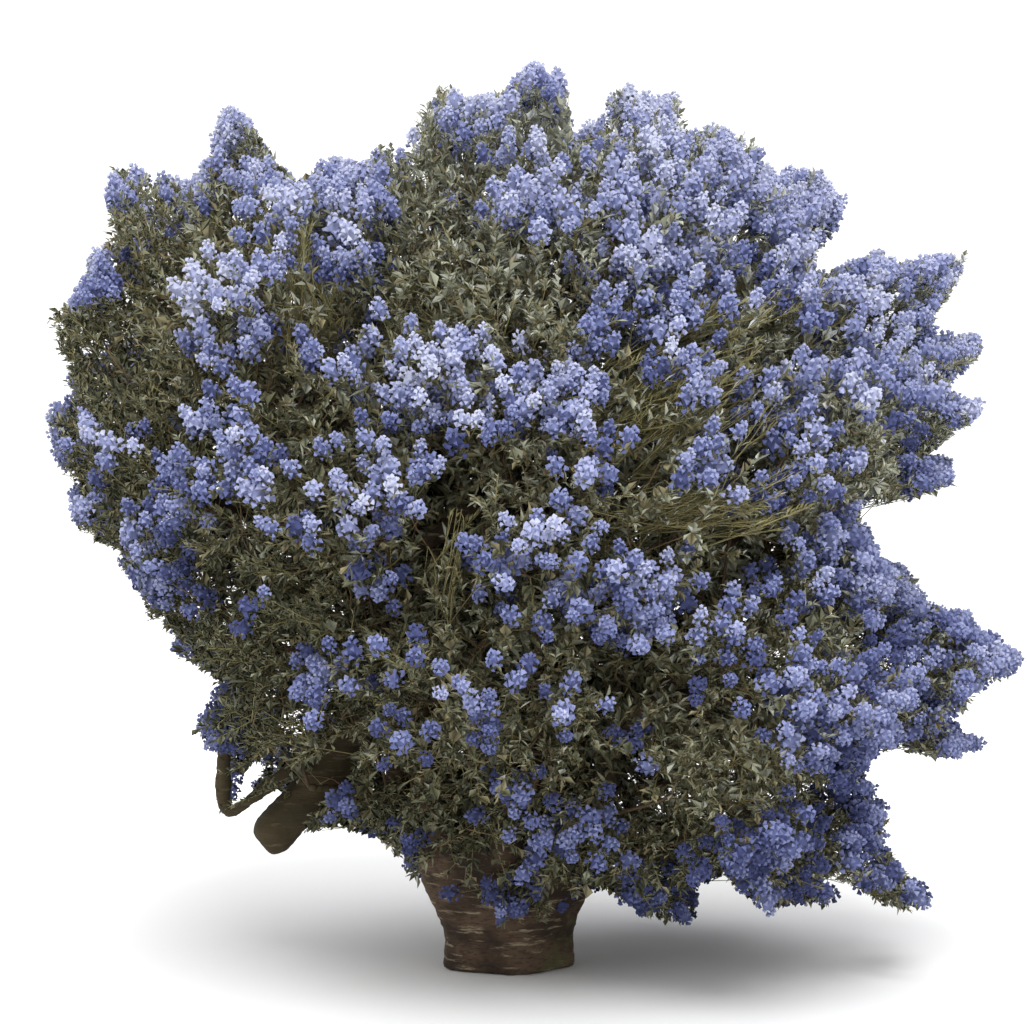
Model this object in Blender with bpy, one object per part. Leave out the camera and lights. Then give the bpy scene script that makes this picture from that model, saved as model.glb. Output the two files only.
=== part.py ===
"""A ceanothus shrub in blossom: a short stout trunk, tapering boughs and masses of foliage.

The trunk stands at the origin on a flat cut at ground level. Boughs leave flat seats on its fork
and each ends at the flat foot of a mass. The masses stand in tiers inside the crown's outline, and
each keeps to its own cell, so that no two of them meet. Units are metres, +Z is up, and the front
of the shrub faces -Y.
"""

import math
import random

import bmesh
import bpy
from mathutils import Vector

CLEARANCE = 0.0003  # between two pieces that meet face to face
UP = Vector((0, 0, 1))

# Trunk: half-widths at heights above the ground, and the fork that its top is cut to
TRUNK_PROFILE = (
    (0.0, 0.160), (0.03, 0.157), (0.07, 0.153), (0.11, 0.162), (0.14, 0.173), (0.18, 0.194), (0.215, 0.208),
    (0.28, 0.216),
)
TRUNK_SIDES = 24
TRUNK_FLUTES = 5  # the old stems that have grown together
TRUNK_FLUTE_DEPTH = 0.05
TRUNK_DEPTH_SHARE = 0.86  # the trunk is a little narrower from front to back
TRUNK_BLANK_HEIGHT = 0.52
FORK = Vector((0.0, 0.0, 0.225))
FORK_REACH = 0.205  # from the fork's centre to each bough's seat

# Crown: its outline from the front, as the bearing of each spur or hollow in degrees (anticlockwise
# from the right) and its reach from the heart
HEART = Vector((0.04, 0.0, 1.05))
OUTLINE = (
    (-154, 0.90), (-134, 1.00), (-120, 0.84), (-90, 0.82), (-70, 1.00), (-56, 1.14), (-42, 1.37),
    (-34, 1.14), (-14, 1.31), (0, 0.90), (7, 1.12), (21, 1.27), (28, 1.15), (34, 1.34), (42, 1.13),
    (54, 1.22), (72, 1.20), (81, 1.11), (89, 1.20), (101, 1.18), (110, 1.06), (124, 1.32),
    (131, 1.25), (139, 1.41), (154, 1.33), (166, 1.23), (177, 1.14), (193, 0.95),
)
DEPTH_REACH = {"front": 1.12, "back": 1.10}
FULLNESS = 2.3  # 2 rounds the crown from front to back like an egg, and more makes it boxier
SPREAD = 0.165  # how much wider the crown grows per metre towards the back

# Masses
MASS_SEGMENTS = 12
MASS_RINGS = 8
MASS_MIDDLE = 0.52  # the centre of a mass, as a share of its length from its foot
MASS_LONGEST_SHARE = 0.56  # its length at most, as a share of the way to the plant's axis
LUMP_DEPTH = 0.16
CELL_GAP = 0.0004

# One tier of masses each: the elevation above the heart in degrees on each side, the height on the
# plant's axis that its masses point away from, their half-width and greatest length, and their
# bearings round the trunk in degrees, anticlockwise from the right.
TIERS = {
    "skirt": {
        "elevation": {"right": -41, "back": -45, "left": -36, "front": -46},
        "spring": 0.38, "half_width": 0.32, "length": 0.50,
        "bearings": (0, 46, 92, 140, 216, 250, 286, 322),
    },
    "low": {
        "elevation": {"right": -14, "back": -14, "left": -13, "front": -14},
        "spring": 0.62, "half_width": 0.37, "length": 0.54,
        "bearings": (0, 44, 88, 134, 178, 220, 262, 306),
    },
    "middle": {
        "elevation": {"right": 14, "back": 12, "left": 13, "front": 12},
        "spring": 0.78, "half_width": 0.36, "length": 0.52,
        "bearings": (0, 42, 82, 122, 160, 200, 240, 280, 320),
    },
    "shoulder": {
        "elevation": {"right": 33, "back": 35, "left": 38, "front": 35},
        "spring": 0.86, "half_width": 0.36, "length": 0.56,
        "bearings": (0, 52, 102, 144, 180, 224, 266, 310),
    },
    "upper": {
        "elevation": {"right": 53, "back": 56, "left": 57, "front": 56},
        "spring": 0.90, "half_width": 0.37, "length": 0.54,
        "bearings": (0, 62, 122, 180, 238, 300),
    },
    "top": {
        "elevation": {"right": 76, "back": 76, "left": 77, "front": 76},
        "spring": 0.95, "half_width": 0.34, "length": 0.50,
        "bearings": (10, 105, 190, 285),
    },
}

# The masses that show more leaf than blossom
LEAFY = ("shoulder_5", "middle_6", "middle_9", "low_6", "skirt_4", "skirt_5", "skirt_6", "upper_4")

# Boughs: the mass that each one carries, and the bearing and elevation in degrees at which it leaves
# the fork
BOUGHS = {
    "bough_right_low": {"mass": "skirt_1", "leaves_at": (0, 14)},
    "bough_right_back": {"mass": "low_2", "leaves_at": (45, 28)},
    "bough_back": {"mass": "low_3", "leaves_at": (90, 28)},
    "bough_left_back": {"mass": "low_4", "leaves_at": (135, 28)},
    "bough_left": {"mass": "low_5", "leaves_at": (180, 28)},
    "bough_left_front": {"mass": "low_6", "leaves_at": (225, 28)},
    "bough_front": {"mass": "low_7", "leaves_at": (270, 28)},
    "bough_right_front": {"mass": "low_8", "leaves_at": (315, 28)},
    "leader_right": {"mass": "shoulder_1", "leaves_at": (20, 58)},
    "leader_back": {"mass": "shoulder_3", "leaves_at": (112, 58)},
    "leader_left": {"mass": "shoulder_5", "leaves_at": (204, 58)},
    "leader_front": {"mass": "shoulder_7", "leaves_at": (294, 58)},
    "leader_top": {"mass": "top_1", "leaves_at": (0, 90)},
}
BOUGH_BASE_RADIUS = 0.043
BOUGH_TIP_RADIUS = 0.017
BOUGH_POINTS = 9
BOUGH_SWAY = 0.022  # how far a bough wanders from its smooth line
BOUGH_LEAD = 0.03  # the straight run at each end
BOUGH_BEVEL_RESOLUTION = 2
BARK_ROOM = 0.003  # between a bough and the masses it passes
ROOM_STEPS = 6  # places checked along each length of a bough

# The pruned limb that hangs from the left bough
STUB_PLACE = 0.75  # where it leaves the left bough, as a share of the bough's points
STUB_END = Vector((-0.602, -0.06, 0.312))
STUB_RADII = (0.044, 0.049)
STUB_POINTS = 6
STUB_SAG = 0.008
STUB_ROOM = -0.0040  # set so that the slanting rims come within a millimetre without touching

LEAF_GREEN = (0.10, 0.12, 0.06, 1.0)
BLOSSOM_BLUE = (0.20, 0.25, 0.62, 1.0)
BARK_BROWN = (0.09, 0.065, 0.045, 1.0)


def clear_scene():
    for thing in list(bpy.data.objects):
        bpy.data.objects.remove(thing, do_unlink=True)


def make_material(name, colour, roughness):
    material = bpy.data.materials.new(name)
    material.use_nodes = True
    shader = material.node_tree.nodes["Principled BSDF"]
    shader.inputs["Base Color"].default_value = colour
    shader.inputs["Roughness"].default_value = roughness
    return material


def make_collection(name):
    collection = bpy.data.collections.new(name)
    bpy.context.scene.collection.children.link(collection)
    return collection


def add_part(name, data, material, collection):
    part = bpy.data.objects.new(name, data)
    data.materials.append(material)
    collection.objects.link(part)
    return part


def direction(bearing, elevation):
    """The unit vector at a bearing round the trunk and an elevation, both in degrees."""
    a, e = math.radians(bearing), math.radians(elevation)
    return Vector((math.cos(a) * math.cos(e), math.sin(a) * math.cos(e), math.sin(e)))


def round_the_plant(bearing, sides):
    """A size that varies smoothly between its values at the right, back, left and front."""
    c, s = math.cos(math.radians(bearing)), math.sin(math.radians(bearing))
    across = sides["right"] if c > 0 else sides["left"]
    along = sides["back"] if s > 0 else sides["front"]
    return across * c * c + along * s * s


# --- The crown's outline ---------------------------------------------------------------------


def outline_reach(bearing):
    """How far the outline is from the heart at a bearing seen from the front, in degrees."""
    first = OUTLINE[0][0]
    turned = first + (bearing - first) % 360
    closed = OUTLINE + ((first + 360, OUTLINE[0][1]),)
    for (a, reach_a), (b, reach_b) in zip(closed, closed[1:]):
        if turned <= b:
            share = (1 - math.cos(math.pi * (turned - a) / (b - a))) / 2
            return reach_a + (reach_b - reach_a) * share
    return OUTLINE[0][1]


def in_crown(point):
    """Whether a point is inside the crown."""
    local = point - HEART
    scale = 1 + SPREAD * local.y
    x, z = local.x / scale, local.z / scale
    across = math.hypot(x, z) / outline_reach(math.degrees(math.atan2(z, x)))
    along = abs(local.y) / DEPTH_REACH["back" if local.y > 0 else "front"]
    return across**FULLNESS + along**FULLNESS <= 1


def reach_in_crown(start, heading, furthest):
    """How far one can go from a point, up to the furthest, before leaving the crown."""
    if in_crown(start + heading * furthest):
        return furthest
    near, far = 0.0, furthest
    for _ in range(24):
        middle = (near + far) / 2
        if in_crown(start + heading * middle):
            near = middle
        else:
            far = middle
    return near


# --- Foliage ---------------------------------------------------------------------------------


def lay_out_masses():
    """Where each mass sits: its foot, its axis from foot to tip, its length and its half-width."""
    masses = {}
    for tier, sizes in TIERS.items():
        spring = Vector((HEART.x, HEART.y, sizes["spring"]))
        for number, bearing in enumerate(sizes["bearings"], start=1):
            heading = direction(bearing, round_the_plant(bearing, sizes["elevation"]))
            tip = HEART + heading * reach_in_crown(HEART, heading, 2.0)
            axis = (tip - spring).normalized()
            length = min(sizes["length"], (tip - spring).length * MASS_LONGEST_SHARE)
            foot = tip - axis * length
            masses[f"{tier}_{number}"] = {
                "foot": foot,
                "axis": axis,
                "length": length,
                "half_width": sizes["half_width"],
                "centre": foot + axis * length * MASS_MIDDLE,
            }
    return masses


def mass_walls(name, masses, lines):
    """The planes that a mass keeps behind, as (unit normal, distance from the mass's centre)."""
    mine = masses[name]
    walls = []
    for other_name, other in masses.items():
        if other_name == name:
            continue
        towards = other["centre"] - mine["centre"]
        distance = towards.length
        share = (distance**2 + mine["half_width"] ** 2 - other["half_width"] ** 2) / (2 * distance)
        walls.append((towards.normalized(), share - CELL_GAP / 2))
    for bough, (points, radii) in lines.items():
        if BOUGHS.get(bough, {}).get("mass") == name:
            continue
        for (a, r_a), (b, r_b) in zip(zip(points, radii), zip(points[1:], radii[1:])):
            for step in range(ROOM_STEPS + 1):
                share = step / ROOM_STEPS
                towards = a.lerp(b, share) - mine["centre"]
                room = r_a + (r_b - r_a) * share + BARK_ROOM
                walls.append((towards.normalized(), towards.length - room))
    return walls


def lump(around, along, phases):
    """How uneven the surface is there, from -1 to 1."""
    wide = math.sin(2 * around + phases[0]) * math.sin(along * 2 + phases[1])
    small = math.sin(5 * around + phases[2]) * math.sin(along * 4 + phases[3])
    return 0.55 * wide + 0.45 * small


def held_in(start, target, centre, walls):
    """The target, or the point on the way to it from the start where a wall or the outline is."""
    heading = (target - start).normalized()
    reach = (target - start).length
    for normal, distance in walls:
        facing = heading.dot(normal)
        if facing > 1e-6:
            reach = min(reach, (distance - (start - centre).dot(normal)) / facing)
    return start + heading * reach_in_crown(start, heading, max(reach, 0.0))


def build_mass(name, masses, lines, material, collection):
    """A bud shape about the mass's axis, lumpy, with a flat foot, trimmed to its cell."""
    mass = masses[name]
    walls = mass_walls(name, masses, lines)
    chance = random.Random(name)
    phases = [chance.uniform(0, math.tau) for _ in range(4)]
    turn = UP.rotation_difference(mass["axis"])
    foot_ring = 1.5 * math.pi / MASS_RINGS
    bm = bmesh.new()
    bmesh.ops.create_uvsphere(bm, u_segments=MASS_SEGMENTS, v_segments=MASS_RINGS, radius=1.0)
    for vert in bm.verts:
        along = math.acos(max(-1.0, min(1.0, -vert.co.z)))  # 0 at the foot, pi at the tip
        around = math.atan2(vert.co.y, vert.co.x)
        uneven = 1 + LUMP_DEPTH * lump(around, along, phases)
        height = 0.0 if along < foot_ring else mass["length"] * (1 - math.cos(along)) / 2
        width = mass["half_width"] * math.sin(along) ** 0.75 * uneven
        local = Vector((math.cos(around) * width, math.sin(around) * width, height))
        target = mass["foot"] + turn @ local
        if width < 1e-4:
            vert.co = target
        else:
            start = mass["foot"] if along < foot_ring else mass["centre"]
            vert.co = held_in(start, target, mass["centre"], walls)
    mesh = bpy.data.meshes.new(name)
    bm.to_mesh(mesh)
    bm.free()
    return add_part(name, mesh, material, collection)


# --- Trunk -----------------------------------------------------------------------------------


def bough_seats():
    """For each bough, the point on the fork where it sits and the way it leaves."""
    seats = {}
    for name, bough in BOUGHS.items():
        leaves = direction(*bough["leaves_at"])
        seats[name] = (FORK + leaves * FORK_REACH, leaves)
    return seats


def trunk_radius(height):
    for (low, r_low), (high, r_high) in zip(TRUNK_PROFILE, TRUNK_PROFILE[1:]):
        if height <= high:
            return r_low + (r_high - r_low) * (height - low) / (high - low)
    return TRUNK_PROFILE[-1][1]


def cut_flat(bm, point, normal):
    """Cuts away what lies beyond a plane and closes the cut with one flat face."""
    everything = bm.verts[:] + bm.edges[:] + bm.faces[:]
    cut = bmesh.ops.bisect_plane(
        bm, geom=everything, plane_co=point, plane_no=normal, clear_outer=True, dist=1e-6
    )
    edges = [item for item in cut["geom_cut"] if isinstance(item, bmesh.types.BMEdge)]
    bmesh.ops.edgeloop_fill(bm, edges=edges)


def build_trunk(seats, material, collection):
    """A fluted post with a root flare, its top cut to one flat seat for each bough."""
    bm = bmesh.new()
    bmesh.ops.create_cone(
        bm, cap_ends=True, segments=TRUNK_SIDES, radius1=1.0, radius2=1.0, depth=TRUNK_BLANK_HEIGHT
    )
    bmesh.ops.translate(bm, verts=bm.verts, vec=(0, 0, TRUNK_BLANK_HEIGHT / 2))
    for height, _ in TRUNK_PROFILE[1:]:
        everything = bm.verts[:] + bm.edges[:] + bm.faces[:]
        bmesh.ops.bisect_plane(bm, geom=everything, plane_co=(0, 0, height), plane_no=UP)
    for vert in bm.verts:
        around = math.atan2(vert.co.y, vert.co.x)
        flare = 1 - vert.co.z / TRUNK_BLANK_HEIGHT
        flutes = 1 + TRUNK_FLUTE_DEPTH * (0.4 + flare) * math.cos(TRUNK_FLUTES * around + 0.6)
        radius = trunk_radius(vert.co.z) * flutes
        vert.co.x = math.cos(around) * radius
        vert.co.y = math.sin(around) * radius * TRUNK_DEPTH_SHARE
    for point, leaves in seats.values():
        cut_flat(bm, point, leaves)
    bmesh.ops.recalc_face_normals(bm, faces=bm.faces)
    mesh = bpy.data.meshes.new("trunk")
    bm.to_mesh(mesh)
    bm.free()
    return add_part("trunk", mesh, material, collection)


# --- Boughs ----------------------------------------------------------------------------------


def arc_between(start, leaves, end, arrives, count):
    """Points along a smooth curve with a given direction at each end, and a straight lead there."""
    first, last = start + leaves * BOUGH_LEAD, end - arrives * BOUGH_LEAD
    reach = (last - first).length
    handle_1, handle_2 = first + leaves * reach * 0.36, last - arrives * reach * 0.36
    points = [start]
    for i in range(count - 2):
        t = i / (count - 3)
        s = 1 - t
        curve = first * s**3 + handle_1 * 3 * s * s * t + handle_2 * 3 * s * t * t + last * t**3
        points.append(curve)
    return [*points, end]


def sway(points, seed, amount):
    """Bends the middle of a line of points a little from side to side, and leaves its ends."""
    chance = random.Random(seed)
    aside = Vector((chance.uniform(-1, 1), chance.uniform(-1, 1), chance.uniform(-0.5, 0.5)))
    beat = chance.uniform(1.2, 2.2)
    last = len(points) - 3
    swayed = [points[0]]
    for i, point in enumerate(points[1:-1]):
        t = i / last
        fade = math.sin(math.pi * t) ** 2
        swayed.append(point + aside * amount * fade * math.sin(beat * math.pi * t + aside.x))
    return [*swayed, points[-1]]


def taper(base, tip, count):
    return [base + (tip - base) * (i / (count - 1)) ** 0.8 for i in range(count)]


def bough_lines(seats, masses):
    """The points and radii of each bough, from its seat on the fork to the foot of its mass."""
    lines = {}
    for name, (seat, leaves) in seats.items():
        mass = masses[BOUGHS[name]["mass"]]
        start = seat + leaves * CLEARANCE
        end = mass["foot"] - mass["axis"] * CLEARANCE
        points = arc_between(start, leaves, end, mass["axis"], BOUGH_POINTS)
        radii = taper(BOUGH_BASE_RADIUS, BOUGH_TIP_RADIUS, BOUGH_POINTS)
        lines[name] = (sway(points, name, BOUGH_SWAY), radii)
    lines["pruned_limb"] = stub_line(*lines["bough_left"])
    return lines


def stub_line(parent, parent_radii):
    """The pruned limb: it leaves the left bough's underside and hangs down to the left."""
    at = round(STUB_PLACE * (BOUGH_POINTS - 1))
    leaves = (STUB_END - parent[at]).normalized()
    along = (parent[at + 1] - parent[at - 1]).normalized()
    slant = max(0.5, math.sqrt(1 - leaves.dot(along) ** 2))
    start = parent[at] + leaves * ((parent_radii[at] + STUB_RADII[0] * 0.45) / slant + STUB_ROOM)
    points = arc_between(start, leaves, STUB_END, leaves, STUB_POINTS)
    last = STUB_POINTS - 1
    sagged = [p - UP * STUB_SAG * math.sin(math.pi * i / last) ** 2 for i, p in enumerate(points)]
    radii = taper(*STUB_RADII, STUB_POINTS)
    radii[0] *= 0.45
    radii[-1] *= 0.7
    return sagged, radii


def add_limb(name, points, radii, material, collection):
    """A round limb along the points, with flat ends."""
    curve = bpy.data.curves.new(name, "CURVE")
    curve.dimensions = "3D"
    curve.bevel_depth = 1.0
    curve.bevel_resolution = BOUGH_BEVEL_RESOLUTION
    curve.use_fill_caps = True
    line = curve.splines.new("POLY")
    line.points.add(len(points) - 1)
    for spot, point, radius in zip(line.points, points, radii):
        spot.co = (*point, 1)
        spot.radius = radius
    line.use_smooth = True
    return add_part(name, curve, material, collection)


def main():
    clear_scene()
    shrub = make_collection("ceanothus shrub")
    bark = make_material("bark", BARK_BROWN, 0.9)
    foliage = make_material("foliage", LEAF_GREEN, 0.7)
    blossom = make_material("blossom", BLOSSOM_BLUE, 0.8)
    masses = lay_out_masses()
    seats = bough_seats()
    lines = bough_lines(seats, masses)
    build_trunk(seats, bark, shrub)
    for name, (points, radii) in lines.items():
        add_limb(name, points, radii, bark, shrub)
    for name in masses:
        build_mass(name, masses, lines, foliage if name in LEAFY else blossom, shrub)


main()
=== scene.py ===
import math

import bpy
import numpy as np
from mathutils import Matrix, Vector, noise
from mathutils.bvhtree import BVHTree
from mathutils.kdtree import KDTree


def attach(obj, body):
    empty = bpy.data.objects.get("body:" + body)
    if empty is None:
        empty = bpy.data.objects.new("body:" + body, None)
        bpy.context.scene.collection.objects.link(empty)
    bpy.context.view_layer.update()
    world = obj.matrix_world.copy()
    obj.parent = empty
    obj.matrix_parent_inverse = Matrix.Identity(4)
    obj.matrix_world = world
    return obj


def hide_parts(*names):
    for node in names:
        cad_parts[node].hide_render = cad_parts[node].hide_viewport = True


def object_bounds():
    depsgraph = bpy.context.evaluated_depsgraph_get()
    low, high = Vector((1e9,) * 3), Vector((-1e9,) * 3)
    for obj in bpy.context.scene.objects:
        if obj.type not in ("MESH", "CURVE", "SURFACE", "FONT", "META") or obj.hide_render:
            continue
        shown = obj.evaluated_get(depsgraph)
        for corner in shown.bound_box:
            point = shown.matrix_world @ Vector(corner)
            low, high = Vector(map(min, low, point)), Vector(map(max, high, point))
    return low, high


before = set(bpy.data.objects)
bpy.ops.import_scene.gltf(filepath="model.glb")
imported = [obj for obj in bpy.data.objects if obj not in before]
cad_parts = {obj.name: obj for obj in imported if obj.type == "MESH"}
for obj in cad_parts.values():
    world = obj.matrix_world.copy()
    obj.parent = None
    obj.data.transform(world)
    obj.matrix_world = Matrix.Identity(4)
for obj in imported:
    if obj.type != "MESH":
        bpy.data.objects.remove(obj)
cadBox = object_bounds()
up = np.array((0.0, 0.0, 1.0))
golden = math.pi * (3 - math.sqrt(5))

plant = {
    "heart": (0.04, 0.0, 1.05),  # the middle of the crown, in metres
    "fork": (0.0, 0.0, 0.225),
    "prunedStart": (-0.28, 0.0, 0.72),
    "limbShows": 0.52,  # below this height no leaves hide the pruned limb
    "loopHole": (-0.648, 0.458, 0.058, 0.022, 52, 0),  # light inside the hanging loop, given as a clump is
    "spread": 0.165,  # how much wider the crown grows per metre towards the back
    "pastMasses": 0.055,  # how far leaves and blossom may stand in front of the masses and behind them
    # the height on the middle line where each tier of masses springs
    "springs": {"skirt": 0.38, "low": 0.62, "middle": 0.78, "shoulder": 0.86, "upper": 0.90, "top": 0.95},
}
outline = [  # the crown's tips and notches from the front: bearing from the heart in degrees, and reach
    (-179, 1.01), (-176, 1.02), (-175, 0.98), (-168, 0.97), (-166, 0.915), (-162, 0.92), (-160, 0.88),
    (-155, 0.84), (-153, 0.87), (-151, 0.955), (-147, 0.93), (-144, 0.95), (-138, 1.03), (-136, 0.88),
    (-134, 0.86), (-128, 0.93), (-123, 0.84), (-117, 0.83), (-108, 0.875), (-103, 0.93), (-92, 0.965),
    (-82, 0.925), (-78.5, 0.875), (-75, 0.905), (-72, 0.98), (-65.5, 1.06), (-63.5, 0.96), (-58.5, 0.97),
    (-57, 1.11), (-54, 1.12), (-49.3, 1.20), (-48, 1.11), (-47, 1.13), (-45, 1.29), (-42, 1.37),
    (-40.8, 1.34), (-39.6, 1.14), (-38.5, 1.14), (-37, 1.16), (-35, 1.05), (-32, 1.01), (-29, 1.055),
    (-27, 1.21), (-24, 1.26), (-22.5, 1.14), (-19, 1.22), (-17.5, 1.18), (-15, 1.28), (-13, 1.29),
    (-11, 1.16), (-9, 1.13), (-8.3, 1.0), (-5, 0.98), (-2.5, 0.885), (6.3, 0.84), (7, 1.08), (10, 1.10),
    (12.5, 1.03), (16, 1.21), (20, 1.125), (23, 1.27), (25, 1.24), (26.5, 1.15), (28, 1.155), (33, 1.34),
    (37, 1.16), (39, 1.17), (42, 1.00), (44, 1.00), (46, 1.17), (52, 1.20), (57, 1.10), (60, 1.19),
    (63, 1.15), (65, 1.17), (68, 1.11), (71, 1.20), (74, 1.155), (78, 1.19), (80, 1.08), (83, 1.01),
    (84.2, 1.14), (88, 1.21), (92, 1.15), (97, 1.12), (99.5, 1.18), (103, 1.13), (107, 1.02), (109, 1.07),
    (114, 1.03), (116, 1.09), (122, 1.06), (123.2, 1.30), (125, 1.32), (129, 1.245), (133, 1.235),
    (137.7, 1.40), (140, 1.37), (144, 1.29), (152, 1.29), (154, 1.34), (157, 1.27), (162.5, 1.19),
    (165, 1.24), (171, 1.18), (172.2, 1.11), (175, 1.15), (178, 1.13),
]
heart = np.array(plant["heart"])
fork = np.array(plant["fork"])
woodNodes = sorted(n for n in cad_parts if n.split("_")[0] in ("trunk", "bough", "leader", "pruned"))
massNodes = sorted(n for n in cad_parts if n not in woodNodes)


# small helpers for rows of points

def unit(v):
    return v / np.maximum(np.linalg.norm(v, axis=-1, keepdims=True), 1e-9)


def anyAcross(v):
    # a unit vector square to each of v
    return unit(np.cross(v, np.where(np.abs(v[..., 2:]) < 0.9, up, np.array((1.0, 0.0, 0.0)))))


def turned(v, axis, angle):
    # v turned about axis, all in rows
    c, s = np.cos(angle)[..., None], np.sin(angle)[..., None]
    along = np.sum(axis * v, -1, keepdims=True)
    return v * c + np.cross(axis, v) * s + axis * along * (1 - c)


def gap(a, b):
    # how far apart points are
    return np.linalg.norm(a - b, axis=-1)


def cloud(points, size, seed):
    # soft noise from about -1 to 1 at each point
    shift = Vector((seed * 3.7, seed * 1.3, seed * 2.9))
    return np.array([noise.noise(Vector(p) / size + shift) for p in points])


def thinned(points, spacing):
    # the places kept when none may be nearer to an earlier one than the spacing, or its own spacing
    spacing = np.broadcast_to(spacing, len(points))
    alive = np.ones(len(points), bool)
    kept = []
    for i in range(len(points)):
        if alive[i]:
            kept.append(i)
            alive &= np.sum((points - points[i])**2, 1) > spacing[i] * spacing
    return np.array(kept)


def seenPlace(points):
    # where a point shows when the shrub is seen from the front: its x and z
    local = np.asarray(points) - heart
    scale = 1 + plant["spread"] * local[:, 1]
    return np.stack([heart[0] + local[:, 0] / scale, heart[2] + local[:, 2] / scale], 1)


def fromSeen(x, z, depth):
    # the point at a depth that shows at x and z from the front
    scale = 1 + plant["spread"] * depth
    return np.stack([heart[0] + (x - heart[0]) * scale, depth, heart[2] + (z - heart[2]) * scale], -1)


def reachAt(bearing):
    # how far the outline is from the heart in a direction, in degrees
    marks = np.array([outline[-1]] + outline + [outline[0]])
    marks[0, 0] -= 360
    marks[-1, 0] += 360
    return np.interp(bearing, marks[:, 0], marks[:, 1])


def beyondOutline(points):
    # how far each point shows outside the outline, negative inside
    away = seenPlace(points) - heart[[0, 2]]
    bearing = (np.degrees(np.arctan2(away[:, 1], away[:, 0])) + 180) % 360 - 180
    return np.hypot(away[:, 0], away[:, 1]) - reachAt(bearing)


def broughtIn(points, margin):
    # points that show outside the outline, brought in towards the middle line of the crown
    over = np.maximum(beyondOutline(points) + margin, 0)
    away = (points - heart) * (1, 0, 1)
    return points - away * (over / np.maximum(np.linalg.norm(away, axis=1), 0.1))[:, None]


def patchSum(places, patches):
    # soft ovals added up at each place, each with its own strength as the last value
    total = np.zeros(len(places))
    for x, z, w, h, strength in patches:
        away = ((places[:, 0] - x) / w)**2 + ((places[:, 1] - z) / h)**2
        total += strength * np.exp(-0.7 * away**1.5)
    return total


def clumpAt(places, clumps):
    # at each place the strongest of some tilted soft ovals, and the paleness that goes with it
    strength, pale = np.zeros(len(places)), np.zeros(len(places))
    for x, z, long, wide, tilt, palenessAndPaintedLight in clumps:
        c, s = math.cos(math.radians(tilt)), math.sin(math.radians(tilt))
        across, over = places[:, 0] - x, places[:, 1] - z
        away = ((across * c + over * s) / long)**2 + ((over * c - across * s) / wide)**2
        value = np.exp(-0.6 * away**2)
        pale = np.where(value > strength, palenessAndPaintedLight * value, pale)
        strength = np.maximum(strength, value)
    return strength, pale


def deselectAll():
    bpy.ops.object.select_all(action="DESELECT")


def joinedPiece(name, verts, faces, materials, slotName, tint=None, normals=None):
    # one mesh from arrays of points and triangles, with only the points it uses
    used, faces = np.unique(faces, return_inverse=True)
    verts, faces = np.asarray(verts, np.float32)[used], faces.reshape(-1).astype(np.int32)
    mesh = bpy.data.meshes.new(name)
    mesh.vertices.add(len(verts))
    mesh.vertices.foreach_set("co", verts.ravel())
    mesh.loops.add(len(faces))
    mesh.loops.foreach_set("vertex_index", faces)
    mesh.polygons.add(len(faces) // 3)
    mesh.polygons.foreach_set("loop_start", np.arange(0, len(faces), 3, dtype=np.int32))
    for material in materials:
        mesh.materials.append(material)
    if tint is not None:
        mesh.polygons.foreach_set("material_index", np.asarray(tint, np.int32))
    mesh.update(calc_edges=True)
    if normals is not None:
        mesh.shade_smooth()
        mesh.normals_split_custom_set_from_vertices(normals[used])
    piece = bpy.data.objects.new(name, mesh)
    bpy.context.scene.collection.objects.link(piece)
    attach(piece, "root")
    print(f"  {name}: {len(faces) // 3} triangles")
    return piece


def readAll(items, what, kind=np.float32):
    # three numbers from each point or triangle of a mesh
    values = np.empty(len(items) * 3, kind)
    items.foreach_get(what, values)
    return values.reshape(-1, 3)


def nodeMesh(name):
    # a CAD node's points, merged, and its triangles
    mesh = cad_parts[name].data
    mesh.calc_loop_triangles()
    co = readAll(mesh.vertices, "co").astype(float)
    tri = readAll(mesh.loop_triangles, "vertices", np.int32)
    _, first, index = np.unique(np.round(co, 5), axis=0, return_index=True, return_inverse=True)
    return co[first], index.reshape(-1)[tri]


def stacked(meshes):
    # points and triangles of several meshes as one
    points, triangles, count = [], [], 0
    for verts, faces in meshes:
        points.append(verts)
        triangles.append(faces + count)
        count += len(verts)
    return np.vstack(points), np.vstack(triangles)


# colours

def linear(r, g, b):
    # a screen colour from 0 to 255 as Blender's own
    return [((c / 255 + 0.055) / 1.055)**2.4 if c > 10 else c / 3295 for c in (r, g, b)] + [1.0]


def plainMaterial(name, screen, roughness=0.7, specular=0.3):
    material = bpy.data.materials.new(name)
    material.use_nodes = True
    shader = material.node_tree.nodes["Principled BSDF"]
    shader.inputs["Base Color"].default_value = linear(*screen)
    shader.inputs["Roughness"].default_value = roughness
    shader.inputs["Specular IOR Level"].default_value = specular
    return material


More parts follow.
